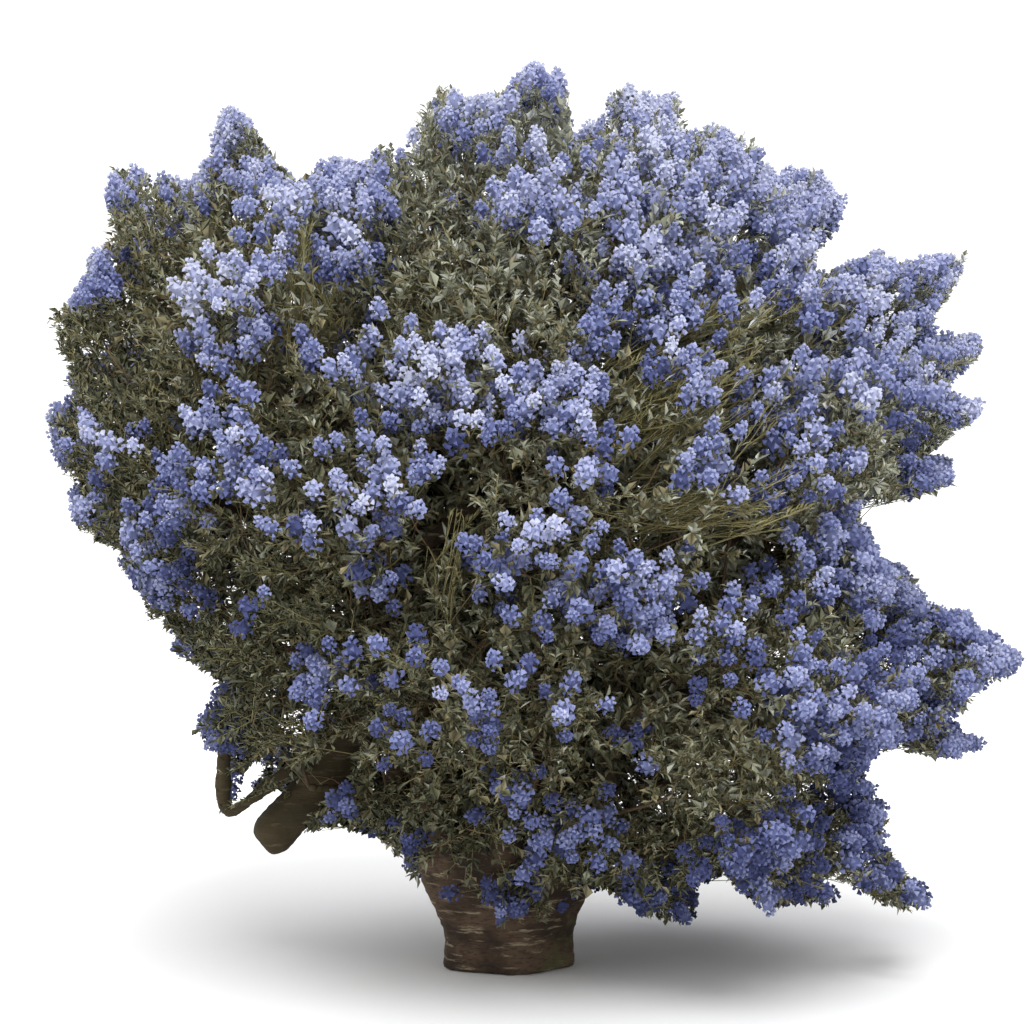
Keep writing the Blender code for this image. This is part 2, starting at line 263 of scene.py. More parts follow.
class Wire:
    # a shader value that sums can be written with
    def __init__(self, tree, socket):
        self.tree, self.socket = tree, socket

    def node(self, kind, settings=None, **values):
        # sockets are given by name with _ for a space, or as i0, i1 and so on
        made = self.tree.nodes.new(kind)
        for key, value in (settings or {}).items():
            if key == "stops":
                ramp = made.color_ramp.elements
                while len(ramp) < len(value):
                    ramp.new(0.5)
                for stop, (place, colour) in zip(ramp, value):
                    stop.position, stop.color = place, colour
            else:
                setattr(made, key, value)
        for key, value in values.items():
            socket = made.inputs[int(key[1:])] if key[1:].isdigit() else made.inputs[key.replace("_", " ")]
            if isinstance(value, Wire):
                self.tree.links.new(value.socket, socket)
            else:
                socket.default_value = value
        return made

    def out(self, kind, settings=None, output=0, **values):
        return Wire(self.tree, self.node(kind, settings, **values).outputs[output])

    def maths(self, operation, other, flip=False):
        a, b = (other, self) if flip else (self, other)
        return self.out("ShaderNodeMath", {"operation": operation}, i0=a, i1=b)

    def __add__(self, other):
        return self.maths("ADD", other)

    __radd__ = __add__

    def __sub__(self, other):
        return self.maths("SUBTRACT", other)

    def __rsub__(self, other):
        return self.maths("SUBTRACT", other, True)

    def __mul__(self, other):
        return self.maths("MULTIPLY", other)

    __rmul__ = __mul__

    def step(self, low, high):
        # 0 below low, 1 above high
        return self.out("ShaderNodeMapRange", {"interpolation_type": "SMOOTHSTEP"}, i0=self, i1=low, i2=high)

    def mixed(self, first, second):
        # two colours mixed by this value
        made = self.node("ShaderNodeMix", {"data_type": "RGBA"}, i0=self)
        for socket, colour in ((made.inputs[6], first), (made.inputs[7], second)):
            if isinstance(colour, Wire):
                self.tree.links.new(colour.socket, socket)
            else:
                socket.default_value = colour
        return Wire(self.tree, made.outputs[2])


def barkMaterial():
    material = plainMaterial("bark", (62, 50, 40), 0.9, 0.2)
    tree = material.node_tree
    shader = tree.nodes["Principled BSDF"]
    place = Wire(tree, tree.nodes.new("ShaderNodeTexCoord").outputs["Object"])

    def grain(stretch, scale, detail):
        moved = place.out("ShaderNodeMapping", Vector=place, Scale=stretch)
        return place.out("ShaderNodeTexNoise", Vector=moved, Scale=scale, Detail=detail, Roughness=0.6)

    blotch = grain((1, 1, 1.6), 9, 3)
    streak = grain((1, 1, 7), 13, 4)
    fleck = grain((1, 1, 4), 60, 3)
    parts = place.node("ShaderNodeSeparateXYZ", Vector=place)
    x, z = Wire(tree, parts.outputs[0]), Wire(tree, parts.outputs[2])
    brown = blotch.step(0.35, 0.65).mixed(linear(50, 40, 32), linear(84, 68, 54))
    brown = (streak.step(0.57, 0.68) * 0.8).mixed(brown, linear(142, 130, 106))
    brown = (fleck.step(0.52, 0.35) * 0.55).mixed(brown, linear(34, 28, 23))
    low = z.step(0.22, 0.02) * x.step(-0.02, 0.12)
    hanging = x.step(-0.24, -0.36) * z.step(0.66, 0.5)  # the pruned limb is dark and mossy
    patches = grain((1, 1, 1.3), 22, 4)
    moss = (low * 0.26 + patches * 0.85).step(0.58, 0.80)
    brown = (hanging * 0.75).mixed(brown, linear(60, 54, 36))
    brown = (moss * 0.75).mixed(brown, linear(76, 77, 48))
    tree.links.new(brown.socket, shader.inputs["Base Color"])
    height = streak * 0.5 + fleck * 0.35 + moss * 0.2
    bump = place.node("ShaderNodeBump", Strength=0.55, Distance=0.006, Height=height)
    tree.links.new(bump.outputs[0], shader.inputs["Normal"])
    rough = 0.95 - streak * 0.18
    tree.links.new(rough.socket, shader.inputs["Roughness"])
    return material


# lines and tubes

def curveThrough(points, step):
    # a smooth line through the points, cut to short steps, with each new point's place along the old
    points = np.asarray(points, float)
    padded = np.vstack([2 * points[0] - points[1], points, 2 * points[-1] - points[-2]])
    out, places = [], []
    for i in range(len(points) - 1):
        a, b, c, d = padded[i:i + 4]
        count = max(1, int(round(np.linalg.norm(c - b) / step)))
        t = (np.arange(count) / count)[:, None]
        out.append(0.5 * (2 * b + (c - a) * t + (2 * a - 5 * b + 4 * c - d) * t**2
                          + (3 * b - a - 3 * c + d) * t**3))
        places.append(i + t[:, 0])
    out.append(points[-1:])
    places.append(np.array([len(points) - 1.0]))
    return np.vstack(out), np.concatenate(places)


def swingLine(start, departs, end, arrives, count):
    # a line that departs one way and arrives another
    reach = np.linalg.norm(end - start)
    a, b = start + departs * reach * 0.38, end - arrives * reach * 0.38
    t = np.linspace(0, 1, count)[:, None]
    return start * (1 - t)**3 + a * 3 * (1 - t)**2 * t + b * 3 * (1 - t) * t**2 + end * t**3


def wandered(line, amount, size, seed):
    # bends the inside of a line from side to side and leaves its ends
    fade = np.sin(np.pi * np.linspace(0, 1, len(line)))[:, None]
    shift = np.stack([cloud(line, size, seed + k * 11) for k in range(3)], 1)
    return line + shift * amount * fade


class Tubes:
    # many thin limbs gathered into one mesh, each closed at both ends
    def __init__(self):
        self.verts, self.faces, self.count = [], [], 0

    def add(self, line, radii, sides):
        line = np.asarray(line, float)
        ways = unit(np.gradient(line, axis=0))
        side = anyAcross(ways[:1])[0]
        angles = np.arange(sides) * math.tau / sides
        rings = []
        for point, way, radius in zip(line, ways, radii):
            side = unit(side - way * (side @ way))
            other = np.cross(way, side)
            rings.append(point + radius * (np.cos(angles)[:, None] * side + np.sin(angles)[:, None] * other))
        grid = self.count + np.arange(len(line) * sides).reshape(len(line), sides)
        a, b = grid[:-1], np.roll(grid[:-1], -1, 1)
        c, d = grid[1:], np.roll(grid[1:], -1, 1)
        self.faces += [np.stack([a, b, d], -1).reshape(-1, 3), np.stack([a, d, c], -1).reshape(-1, 3)]
        caps = [[grid[0, 0], grid[0, k + 1], grid[0, k]] for k in range(1, sides - 1)]
        caps += [[grid[-1, 0], grid[-1, k], grid[-1, k + 1]] for k in range(1, sides - 1)]
        self.faces.append(np.array(caps))
        self.verts.append(np.vstack(rings))
        self.count += len(line) * sides

    def arrays(self):
        return np.vstack(self.verts), np.vstack(self.faces)


print("stage 1: limbs of the frame")

lineStep = 0.03  # between the points of a limb's middle line


def limbLine(name, start):
    # the middle line and radii of a CAD limb, from its rings of eight points
    points, _ = nodeMesh(name)
    points = points[np.argsort(gap(points, start))]
    rings = [points[i:i + 8] for i in range(0, len(points) - 7, 8)]
    line = np.array([ring.mean(0) for ring in rings])
    radii = np.array([gap(ring, ring.mean(0)).mean() for ring in rings])
    fine, places = curveThrough(line, lineStep)
    return {"name": name, "line": fine, "radii": np.interp(places, np.arange(len(radii)), radii), "far": 0.0}


def massFacts(name):
    # a mass's middle, the way it points out of the crown, its foot and its length
    points, triangles = nodeMesh(name)
    corners = points[triangles]
    volumes = np.einsum("ij,ij->i", corners[:, 0], np.cross(corners[:, 1], corners[:, 2])) / 6
    centre = (corners.mean(1) * 0.75 * volumes[:, None]).sum(0) / volumes.sum()
    spring = np.array((heart[0], 0.0, plant["springs"][name.split("_")[0]]))
    axis = unit(centre - spring)
    along = (points - centre) @ axis
    return {"points": points, "triangles": triangles, "centre": centre, "axis": axis, "spring": spring,
            "foot": centre + axis * along.min() * 0.97, "length": along.max() - along.min()}


limbs = [limbLine(name, fork) for name in woodNodes if name.startswith(("bough", "leader"))]
prunedLimb = limbLine("pruned_limb", np.array(plant["prunedStart"]))
masses = {name: massFacts(name) for name in massNodes}
print(f"  {len(limbs) + 1} limbs, {len(masses)} masses")


print("stage 2: boughs inside the crown")

boughs = {
    "startRadius": 0.019,
    "carriedRadius": 0.0165,  # of one that goes on from the end of a CAD limb
    "endRadius": 0.0055,
    "reachIn": 0.62,  # share of its mass that each one runs through
    "wander": 0.035,
    "detour": 0.0075,  # what each step out along a limb costs when a bough looks for its start
}


def growBoughs():
    # one bough into each mass, from the limb that carries it or from the nearest limb
    made, carried = [], {}
    for limb in limbs:
        ends = {name: np.linalg.norm(mass["foot"] - limb["line"][-1]) for name, mass in masses.items()}
        carried[min(ends, key=ends.get)] = limb
    for number, (name, mass) in enumerate(masses.items()):
        tip = mass["foot"] + mass["axis"] * mass["length"] * boughs["reachIn"]
        if name in carried:
            parent = carried[name]
            departs = unit(parent["line"][-1] - parent["line"][-3])
            far = len(parent["line"]) * lineStep
            line = swingLine(parent["line"][-1] - departs * 0.01, departs, tip, mass["axis"], 14)
            start = boughs["carriedRadius"]
        else:
            costs = [gap(limb["line"][:-2], mass["foot"])
                     + boughs["detour"] * np.arange(len(limb["line"]) - 2) for limb in limbs]
            nearest = int(np.argmin([cost.min() for cost in costs]))
            parent = limbs[nearest]
            at = int(np.argmin(costs[nearest]))
            far = at * lineStep
            departs = unit(parent["line"][at + 1] - parent["line"][at])
            departs = unit(departs + unit(mass["foot"] - parent["line"][at]))
            toFoot = swingLine(parent["line"][at], departs, mass["foot"], mass["axis"], 14)
            line = np.vstack([toFoot, swingLine(mass["foot"], mass["axis"], tip, mass["axis"], 9)[1:]])
            start = min(parent["radii"][at] * 0.8, boughs["startRadius"])
        line = wandered(line, boughs["wander"], 0.22, number)
        made.append({"name": name, "line": line, "radii": np.linspace(start, boughs["endRadius"], len(line)),
                     "far": far})
    return made


innerBoughs = growBoughs()
print(f"  {len(innerBoughs)} boughs")


print("stage 3: where the sprays end")

crown = {
    "spacing": 0.080,  # between the tips of leafy sprays on the crown's outside
    "richSpacing": 0.062,  # and of those in full blossom
    "candidates": 30000,
    "clear": 0.10,  # a place with another mass this near in front of it is inside the crown
    "insideSpacing": 0.083,
    "insideShare": (0.35, 0.90),  # how far from a mass's foot to its skin they stand
    "insideTries": (420, 5000),  # places tried in each mass, and in each core
    "insideMargin": 0.12,
    "insideLowest": 0.26,
    "cores": [  # middle, reach and how close the sprays are
        ((0.04, 0.0, 1.10), (0.84, 0.72, 0.66), 0.083), ((0.25, 0.0, 0.60), (0.62, 0.45, 0.24), 0.079),
        ((-0.60, 0.0, 1.45), (0.42, 0.40, 0.42), 0.083), ((-0.15, -0.05, 1.05), (0.22, 0.30, 0.28), 0.064),
        ((0.60, -0.05, 0.95), (0.22, 0.30, 0.20), 0.070), ((0.28, -0.05, 0.68), (0.22, 0.25, 0.14), 0.066),
    ],
    "rimStep": 1.6,  # degrees between the sprays that draw the outline, in each round of them
    "rimRounds": 3,
    "rimOpen": (-107, -82),  # bearings where the trunk stands
    "rimDepth": 0.28,
    "rimInside": 0.012,
    "rimSpacing": 0.034,
    "margin": 0.035,  # how far inside the outline the other sprays end
    "deepReach": (0.66, 0.56, 0.56),  # nearer to the heart than this, leaves are few and large
}
footSprays = {  # short ones in front of the fork
    "count": 52, "across": (-0.19, 0.24), "depth": (-0.31, -0.24), "middle": 0.04, "low": 0.06, "top": 0.38,
    "from": (0.03, 0.0, 0.45),
}
clumping = {  # how blossom and leaves are mixed; pairs are the strength and size of soft noise
    "named": 1.28,  # how sharply the named clumps stand out
    "bare": -0.42,
    "sharp": 5.0,
    "frontEnds": 0.15,  # the depth where the named clumps end, and how softly
    "frontFades": 0.06,
    "ragged": (0.5, 0.09),
    "patchy": (0.9, 0.2),  # comes in over a depth, so that the sides vary too
    "patchyDepth": 0.22,
    "wild": (2.4, 0.24),  # the clumps at the back, where none is named
    "wildFine": (0.8, 0.10),
    "wildMiddle": 0.08,
    "pale": (0.7, 0.12),
}
blossomClumps = {  # as they show from the front: x, z, half-length, half-width, tilt and paleness, which is partly painted light on the brighter clumps and painted shade on the low ones below 0, and partly the blossom's own colour
    "upperLeft": [
        (-0.66, 2.02, 0.10, 0.06, 100, 0.3), (-0.78, 1.92, 0.04, 0.03, 0, 0.2),
        (-0.48, 1.88, 0.13, 0.04, 5, 0.1), (-0.38, 1.93, 0.07, 0.05, 80, 0.2),
        (-0.37, 1.79, 0.06, 0.07, 0, 0.3), (-1.05, 1.73, 0.05, 0.04, 60, 0.1),
        (-0.74, 1.66, 0.11, 0.08, 80, 1.0), (-0.64, 1.65, 0.13, 0.05, 80, 0.3),
        (-0.65, 1.56, 0.12, 0.06, 5, 0.3), (-0.97, 1.93, 0.03, 0.03, 90, 0),
        (-0.57, 1.85, 0.10, 0.045, 80, 0.1), (-0.87, 1.83, 0.05, 0.03, 30, 0),
    ],
    "left": [
        (-0.96, 1.29, 0.11, 0.035, -35, 0.6), (-0.72, 1.33, 0.09, 0.07, 30, 0.5),
        (-0.68, 1.26, 0.09, 0.08, 90, 0.3), (-0.78, 1.13, 0.06, 0.04, 20, 0.4),
        (-0.51, 1.19, 0.14, 0.085, 0, 0.5), (-0.37, 1.21, 0.13, 0.10, 20, 1.0),
        (-0.35, 1.09, 0.10, 0.055, 0, 0.4), (-0.99, 1.13, 0.07, 0.03, -20, 0.3),
        (-0.88, 1.01, 0.08, 0.05, -60, 0.3), (-0.83, 0.93, 0.05, 0.05, 0, 0.5),
        (-0.66, 0.80, 0.04, 0.03, 0, 0), (-0.62, 0.96, 0.05, 0.03, 0, 0),
        (-0.735, 0.58, 0.03, 0.022, -60, 0.1), (-0.45, 1.23, 0.10, 0.05, 0, 0.4),
        (-0.43, 1.46, 0.06, 0.03, 0, 0.1),
    ],
    "centre": [
        (-0.13, 1.48, 0.28, 0.08, 0, 1.1), (-0.12, 1.39, 0.12, 0.06, -10, 0.7),
        (0.06, 1.43, 0.10, 0.06, -20, 0.5), (0.25, 1.39, 0.10, 0.06, 0, 0.4),
        (0.14, 1.29, 0.08, 0.04, -60, 0.1), (-0.37, 1.52, 0.05, 0.06, 0, 0.2),
        (0.13, 1.10, 0.13, 0.06, 10, 0.6), (0.01, 1.00, 0.05, 0.05, 0, 0.3),
        (0.16, 0.99, 0.06, 0.05, 60, 0.3), (0.17, 0.90, 0.10, 0.05, 0, 0), (0.35, 0.98, 0.09, 0.06, 0, 0.3),
        (0.36, 0.84, 0.11, 0.06, -40, 0), (0.52, 0.87, 0.09, 0.08, 0, 0),
        (-0.28, 1.53, 0.12, 0.045, 0, 0.4), (-0.09, 1.55, 0.11, 0.055, 0, 0.6),
        (-0.28, 1.26, 0.10, 0.05, 0, 0.6), (0.26, 1.11, 0.04, 0.05, 0, 0.2),
        (0.45, 1.35, 0.05, 0.04, -45, 0.1), (0.50, 1.45, 0.06, 0.05, 0, 0.1),
        (0.22, 1.70, 0.09, 0.055, 0, 0.1), (0.51, 1.70, 0.07, 0.05, 0, 0.1),
    ],
    "low": [
        (-0.33, 0.93, 0.04, 0.045, 0, 0.2), (-0.46, 0.73, 0.13, 0.03, 0, 0.5),
        (-0.13, 0.715, 0.13, 0.045, 0, 0.5), (-0.07, 0.66, 0.07, 0.04, 90, 0.3),
        (0.14, 0.65, 0.06, 0.05, 60, 0.2), (0.27, 0.53, 0.05, 0.035, -30, 0),
        (-0.28, 0.58, 0.06, 0.04, -40, -0.2), (-0.43, 0.39, 0.03, 0.02, 0, 0),
        (-0.24, 0.27, 0.03, 0.018, -60, 0.1), (0.00, 0.43, 0.07, 0.035, 90, 0.1),
        (0.18, 0.33, 0.09, 0.045, 0, 0), (-0.02, 0.16, 0.03, 0.03, 0, 0.1),
        (0.54, 0.30, 0.05, 0.05, 0, -0.1), (0.46, 0.10, 0.04, 0.02, -20, -0.1),
        (0.34, 0.16, 0.05, 0.03, 0, -0.1), (0.30, 0.33, 0.06, 0.03, 0, 0), (0.52, 0.57, 0.04, 0.04, 0, 0),
    ],
    "top": [
        (-0.06, 2.10, 0.10, 0.045, 10, 0.1), (0.08, 2.22, 0.03, 0.03, 0, 0.2),
        (0.07, 1.95, 0.14, 0.06, -65, 0.2), (-0.02, 1.87, 0.06, 0.035, 0, 0.1),
        (0.33, 2.07, 0.15, 0.06, -70, 0.3), (0.41, 1.86, 0.13, 0.07, 0, 0.3),
        (0.35, 1.755, 0.17, 0.04, 0, 0.6), (0.60, 1.94, 0.15, 0.07, -20, 0.1),
        (0.79, 1.89, 0.07, 0.08, 0, 0.1), (0.70, 1.77, 0.11, 0.05, -70, 0),
        (0.41, 1.55, 0.14, 0.05, -50, 0.2), (0.28, 1.94, 0.08, 0.06, 0, 0.3),
        (0.15, 1.87, 0.05, 0.08, -30, 0.2), (0.49, 1.87, 0.14, 0.045, 0, 0.2),
    ],
    "right": [
        (0.93, 1.65, 0.10, 0.11, 0, 0.1), (0.99, 1.58, 0.10, 0.07, -60, 0.1),
        (1.06, 1.71, 0.07, 0.04, 30, 0), (1.13, 1.54, 0.06, 0.025, 20, 0), (0.66, 1.41, 0.09, 0.06, 0, 0.2),
        (0.84, 1.42, 0.12, 0.065, 10, 0.2), (0.74, 1.28, 0.13, 0.06, 0, 0.1),
        (1.06, 1.43, 0.09, 0.04, -10, 0), (1.09, 1.21, 0.06, 0.04, -20, 0),
        (0.52, 1.22, 0.11, 0.05, -45, 0.1), (1.14, 1.38, 0.05, 0.03, 0, 0),
        (0.98, 1.59, 0.10, 0.12, 0, 0.1), (0.80, 1.65, 0.07, 0.04, 0, 0.1),
    ],
    "skirt": [
        (0.70, 1.09, 0.12, 0.06, 0, 0.1), (0.90, 0.98, 0.14, 0.07, -45, 0.1),
        (1.07, 0.84, 0.11, 0.07, -20, 0), (1.17, 0.76, 0.12, 0.05, 0, 0), (0.73, 0.72, 0.10, 0.10, 0, 0),
        (0.88, 0.60, 0.12, 0.12, 0, 0), (1.03, 0.70, 0.10, 0.06, 0, 0), (1.08, 0.59, 0.11, 0.04, -20, 0),
        (0.91, 0.41, 0.12, 0.045, 90, -0.1), (0.93, 0.25, 0.14, 0.05, -30, -0.1),
        (0.67, 0.31, 0.10, 0.045, -50, -0.2), (0.79, 0.15, 0.05, 0.03, 0, -0.1),
        (0.63, 0.20, 0.05, 0.04, 0, -0.1), (1.03, 0.18, 0.06, 0.025, -10, -0.1),
        (0.74, 0.64, 0.08, 0.07, 0, 0), (0.72, 0.96, 0.10, 0.04, 20, 0.1), (0.99, 0.90, 0.06, 0.05, 90, 0),
        (1.09, 0.76, 0.08, 0.06, 0, 0), (1.10, 0.55, 0.08, 0.035, -20, 0), (0.71, 0.57, 0.11, 0.06, 90, 0),
        (1.08, 0.82, 0.10, 0.06, -80, 0),
    ],
}
allClumps = sum(blossomClumps.values(), [])
skyGaps = {  # where light shows through: x, z, half-width, half-height and share of sprays left out
    "topNotch": (-0.24, 2.05, 0.04, 0.08, 0.8), "topRight": (0.26, 2.10, 0.06, 0.06, 0.6),
    "underCrest": (0.36, 1.99, 0.05, 0.04, 0.5), "farRight": (0.66, 1.84, 0.10, 0.05, 0.45),
    "crestGap": (0.46, 1.80, 0.05, 0.03, 0.4), "lowLeft": (-0.52, 0.61, 0.05, 0.035, 0.9),
    "besideTrunk": (-0.27, 0.46, 0.045, 0.04, 0.9), "rightOfTrunk": (0.27, 0.42, 0.030, 0.025, 0.8),
}
bareGaps = {  # where few sprays hide the wood and straw-coloured shoots behind them
    "fanHigh": (0.36, 1.37, 0.13, 0.08, 0.5), "fanMiddle": (0.45, 1.14, 0.11, 0.03, 0.5),
    "fanRight": (0.50, 1.60, 0.05, 0.03, 0.4),
    "fanLeft": (-0.505, 1.70, 0.06, 0.08, 0.6), "limbs": (-0.13, 1.07, 0.05, 0.13, 0.4),
}


def frontShare(points):
    # 1 on the front of the crown, 0 on its back
    return 1 / (1 + np.exp((points[:, 1] - clumping["frontEnds"]) / clumping["frontFades"]))


def uneven(points, name, seed, share=1):
    # one kind of soft noise, by its name in clumping
    strength, size = clumping[name]
    return strength * share * cloud(points, size, seed)


def richness(points):
    # from 0, leaves alone, to 1, a full clump of blossom
    front = frontShare(points)
    away = points - heart
    reach = np.linalg.norm(away, axis=1, keepdims=True)
    ray = unit(away) * (1.05 + 0.4 * reach)  # clumps run out from the heart
    wild = uneven(ray, "wild", 5) + uneven(ray, "wildFine", 9) + clumping["wildMiddle"]
    deeper = np.clip((points[:, 1] + clumping["patchyDepth"]) / clumping["patchyDepth"], 0, 1)
    named = clumping["named"] * clumpAt(seenPlace(points), allClumps)[0] + clumping["bare"]
    named = named + uneven(ray, "ragged", 9) + uneven(ray, "patchy", 23, deeper)
    value = front * named + (1 - front) * wild
    return 1 / (1 + np.exp(-value * clumping["sharp"]))


def palenessAndPaintedLight(points):
    # how pale the blossom is, from about -0.5 to 1: the named clumps' paleness is partly painted light and
    # shade and partly the blossom's own colour, and the noise varies at random
    return frontShare(points) * clumpAt(seenPlace(points), allClumps)[1] + uneven(points, "pale", 21)


def throughSky(points, seed):
    # which points stand in a gap where the sky shows, or in the front of a bare one
    share = patchSum(seenPlace(points), skyGaps.values())
    bare = patchSum(seenPlace(points), bareGaps.values()) * frontShare(points + (0.0, 0.3, 0.0))
    return np.random.default_rng(seed).random(len(points)) < np.maximum(share, bare)


def hidesLimb(points, width):
    # which points stand in front of the pruned limb's end, or in the light inside the hanging loop
    seen, line = seenPlace(points), seenPlace(prunedLimb["line"])
    line = line[line[:, 1] < plant["limbShows"]]
    over = gap(seen[:, None], line[None]).min(1) < width
    over &= points[:, 1] < prunedLimb["line"][:, 1].max() + 0.04
    return over | (clumpAt(seen, [plant["loopHole"]])[0] > 0.55)


def surfaceTips():
    # places on the outside of the masses with the way each faces and the mass it is on
    points, triangles = stacked([(mass["points"], mass["triangles"]) for mass in masses.values()])
    owner = np.repeat(list(masses), [len(mass["triangles"]) for mass in masses.values()])
    tree = BVHTree.FromPolygons([Vector(p) for p in points], triangles.tolist())
    rng = np.random.default_rng(3)
    corners = points[triangles]
    crossed = np.cross(corners[:, 1] - corners[:, 0], corners[:, 2] - corners[:, 0])
    areas = np.linalg.norm(crossed, axis=1)  # twice each one's area
    picked = rng.choice(len(areas), crown["candidates"], p=areas / areas.sum())
    u, v = np.sqrt(rng.random(len(picked)))[:, None], rng.random(len(picked))[:, None]
    where = corners[picked, 0] * (1 - u) + corners[picked, 1] * u * (1 - v) + corners[picked, 2] * u * v
    facing = unit(crossed[picked])
    keep = np.einsum("ij,ij->i", facing, unit(where - heart)) > 0.05
    for i in np.flatnonzero(keep):
        hit = tree.ray_cast(Vector(where[i] + facing[i] * 0.002), Vector(facing[i]), crown["clear"])
        keep[i] = hit[0] is None
    return where[keep], facing[keep], owner[picked[keep]]


def rimTips():
    # places that draw the outline as it shows from the front
    rng = np.random.default_rng(4)
    rounds = [np.arange(-180, 180, crown["rimStep"]) + rng.uniform(-1, 1) for _ in range(crown["rimRounds"])]
    bearing = np.concatenate(rounds + [[mark[0] for mark in outline]])
    bearing = bearing[(bearing < crown["rimOpen"][0]) | (bearing > crown["rimOpen"][1])]
    bearing = (bearing + 180) % 360 - 180
    depth = rng.uniform(-crown["rimDepth"], crown["rimDepth"], len(bearing))
    reach = reachAt(bearing) - crown["rimInside"]
    x, z = np.cos(np.radians(bearing)) * reach, np.sin(np.radians(bearing)) * reach
    where = fromSeen(heart[0] + x, heart[2] + z, depth)
    return where, unit(where - heart)


def nearestMass(points):
    # the name of the mass whose middle is nearest to each point
    names = list(masses)
    centres = np.array([masses[n]["centre"] for n in names])
    return np.array(names)[gap(points[:, None], centres[None]).argmin(1)]


def footTips():
    # places in front of the fork, lowest in the middle
    rng = np.random.default_rng(6)
    x = rng.uniform(*footSprays["across"], footSprays["count"])
    y = rng.uniform(*footSprays["depth"], footSprays["count"])
    bottom = np.minimum(footSprays["low"] + np.abs(x - footSprays["middle"]), footSprays["top"] - 0.05)
    where = np.stack([x, y, rng.uniform(bottom, footSprays["top"])], 1)
    return where, unit(where - footSprays["from"])


def sprayTips():
    # where sprays end, with each one's facing and mass: the rim and the foot first, then those between
    firstAt, firstFacing = (np.vstack(pair) for pair in zip(rimTips(), footTips()))
    sideAt, sideFacing, sideOwner = surfaceTips()
    kept = thinned(firstAt, crown["rimSpacing"])
    where = np.vstack([firstAt[kept], broughtIn(sideAt, crown["margin"])])
    facing = np.vstack([firstFacing[kept], sideFacing])
    owner = np.concatenate([nearestMass(firstAt[kept]), sideOwner])
    spacing = crown["spacing"] + (crown["richSpacing"] - crown["spacing"]) * richness(where)
    chosen = thinned(where, spacing)
    chosen = np.concatenate([np.arange(len(kept)), chosen[chosen >= len(kept)]])
    clear = chosen[~throughSky(where[chosen], 8) & ~hidesLimb(where[chosen], 0.048)]
    return where[clear], facing[clear], owner[clear]


tips, tipFacing, tipMass = sprayTips()
tipRich = richness(tips)


def insidePlaces():
    # spots in the masses and the cores, whose sprays keep the sky from showing through
    rng = np.random.default_rng(5)
    places, apart = [], []
    tries, coreTries = crown["insideTries"]
    for mass in masses.values():
        share = rng.uniform(*crown["insideShare"], tries)[:, None]
        ends = mass["points"][rng.integers(len(mass["points"]), size=tries)]
        aside = mass["points"][rng.integers(len(mass["points"]), size=tries)]
        places.append(mass["foot"] * (1 - share) + (0.6 * ends + 0.4 * aside) * share)
        apart.append(np.full(tries, crown["insideSpacing"]))
    for middle, reach, spacing in crown["cores"]:
        ball = unit(rng.normal(size=(coreTries, 3))) * rng.random((coreTries, 1))**0.4
        places.append(ball * reach + middle)
        apart.append(np.full(coreTries, spacing))
    shuffled = rng.permutation(sum(len(group) for group in places))
    places = broughtIn(np.vstack(places)[shuffled], crown["insideMargin"])
    places = places[thinned(places, np.concatenate(apart)[shuffled])]
    low = places[:, 2] <= crown["insideLowest"]
    return places[~throughSky(places, 9) & ~hidesLimb(places, 0.04) & ~low]


inside = insidePlaces()
print(f"  {len(tips)} sprays outside, {len(inside)} inside, mean richness {tipRich.mean():.2f}")


print("stage 4: twigs")

sprays = {
    "length": (0.12, 0.21),
    "recess": 0.075,  # how far leaves lie behind the skin of a mass, and blossom before it
    "proud": 0.012,
    "uneven": 0.028,
    "jitter": 0.20,
    "lift": 0.30,
    "lowest": 0.06,  # above the ground
    "margins": (0.012, 0.03),  # how far inside the outline a spray's tip and its foot stay
}
branching = {
    "pathCost": 0.42,  # what wood already passed costs when a twig looks for its start
    "exponent": 2.25,
    "endRadius": 0.0013,
    "most": 0.011,
    "bare": {"bough": 0.5, "leader": 0.33},  # share of a limb that bears no twigs
    "step": 0.045,
    "wander": (0.010, 0.22),
    "old": 0.003,  # thicker twigs have old bark and more sides
    "stout": 0.006,
}


def sprayWays():
    # each spray points out from where its mass springs, lifted near the top
    rng = np.random.default_rng(12)
    spring = np.array([masses[m]["spring"] for m in tipMass])
    lift = np.clip((tips[:, 2] - 0.5) / 1.0 - np.clip(tips[:, 0], 0, 1) * 0.7, -0.1, 1.0) * sprays["lift"]
    ways = unit(0.75 * unit(tips - spring) + 0.35 * tipFacing + lift[:, None] * up
                + sprays["jitter"] * rng.normal(size=tips.shape))
    return ways, rng.uniform(*sprays["length"], len(tips))


tipWay, tipLength = sprayWays()
inset = sprays["recess"] * (1 - tipRich)**1.5 - sprays["proud"] * tipRich
inset += sprays["uneven"] * np.random.default_rng(13).normal(size=len(tips)).clip(-1.2, 2)
inset = np.where(beyondOutline(tips) > -0.03, np.clip(inset, 0.0, 0.01), inset)  # the rim keeps its line
tips = broughtIn(tips - tipFacing * inset[:, None], sprays["margins"][0])
tips[:, 2] = np.maximum(tips[:, 2], sprays["lowest"])
tipBase = broughtIn(tips - tipWay * tipLength[:, None], sprays["margins"][1])
tipWay, tipLength = unit(tips - tipBase), np.linalg.norm(tips - tipBase, axis=1)
targets = np.vstack([tipBase, inside])


def limbStarts():
    # the points on limbs that twigs may grow from, with how far each is along the wood
    places, far = [], []
    for limb in limbs + innerBoughs:
        skip = max(2, int(len(limb["line"]) * branching["bare"].get(limb["name"].split("_")[0], 0)))
        step = np.linalg.norm(np.diff(limb["line"], axis=0), axis=1)
        places.append(limb["line"][skip:])
        far.append((limb["far"] + np.concatenate([[0], np.cumsum(step)]))[skip:])
    return np.vstack(places), np.concatenate(far)


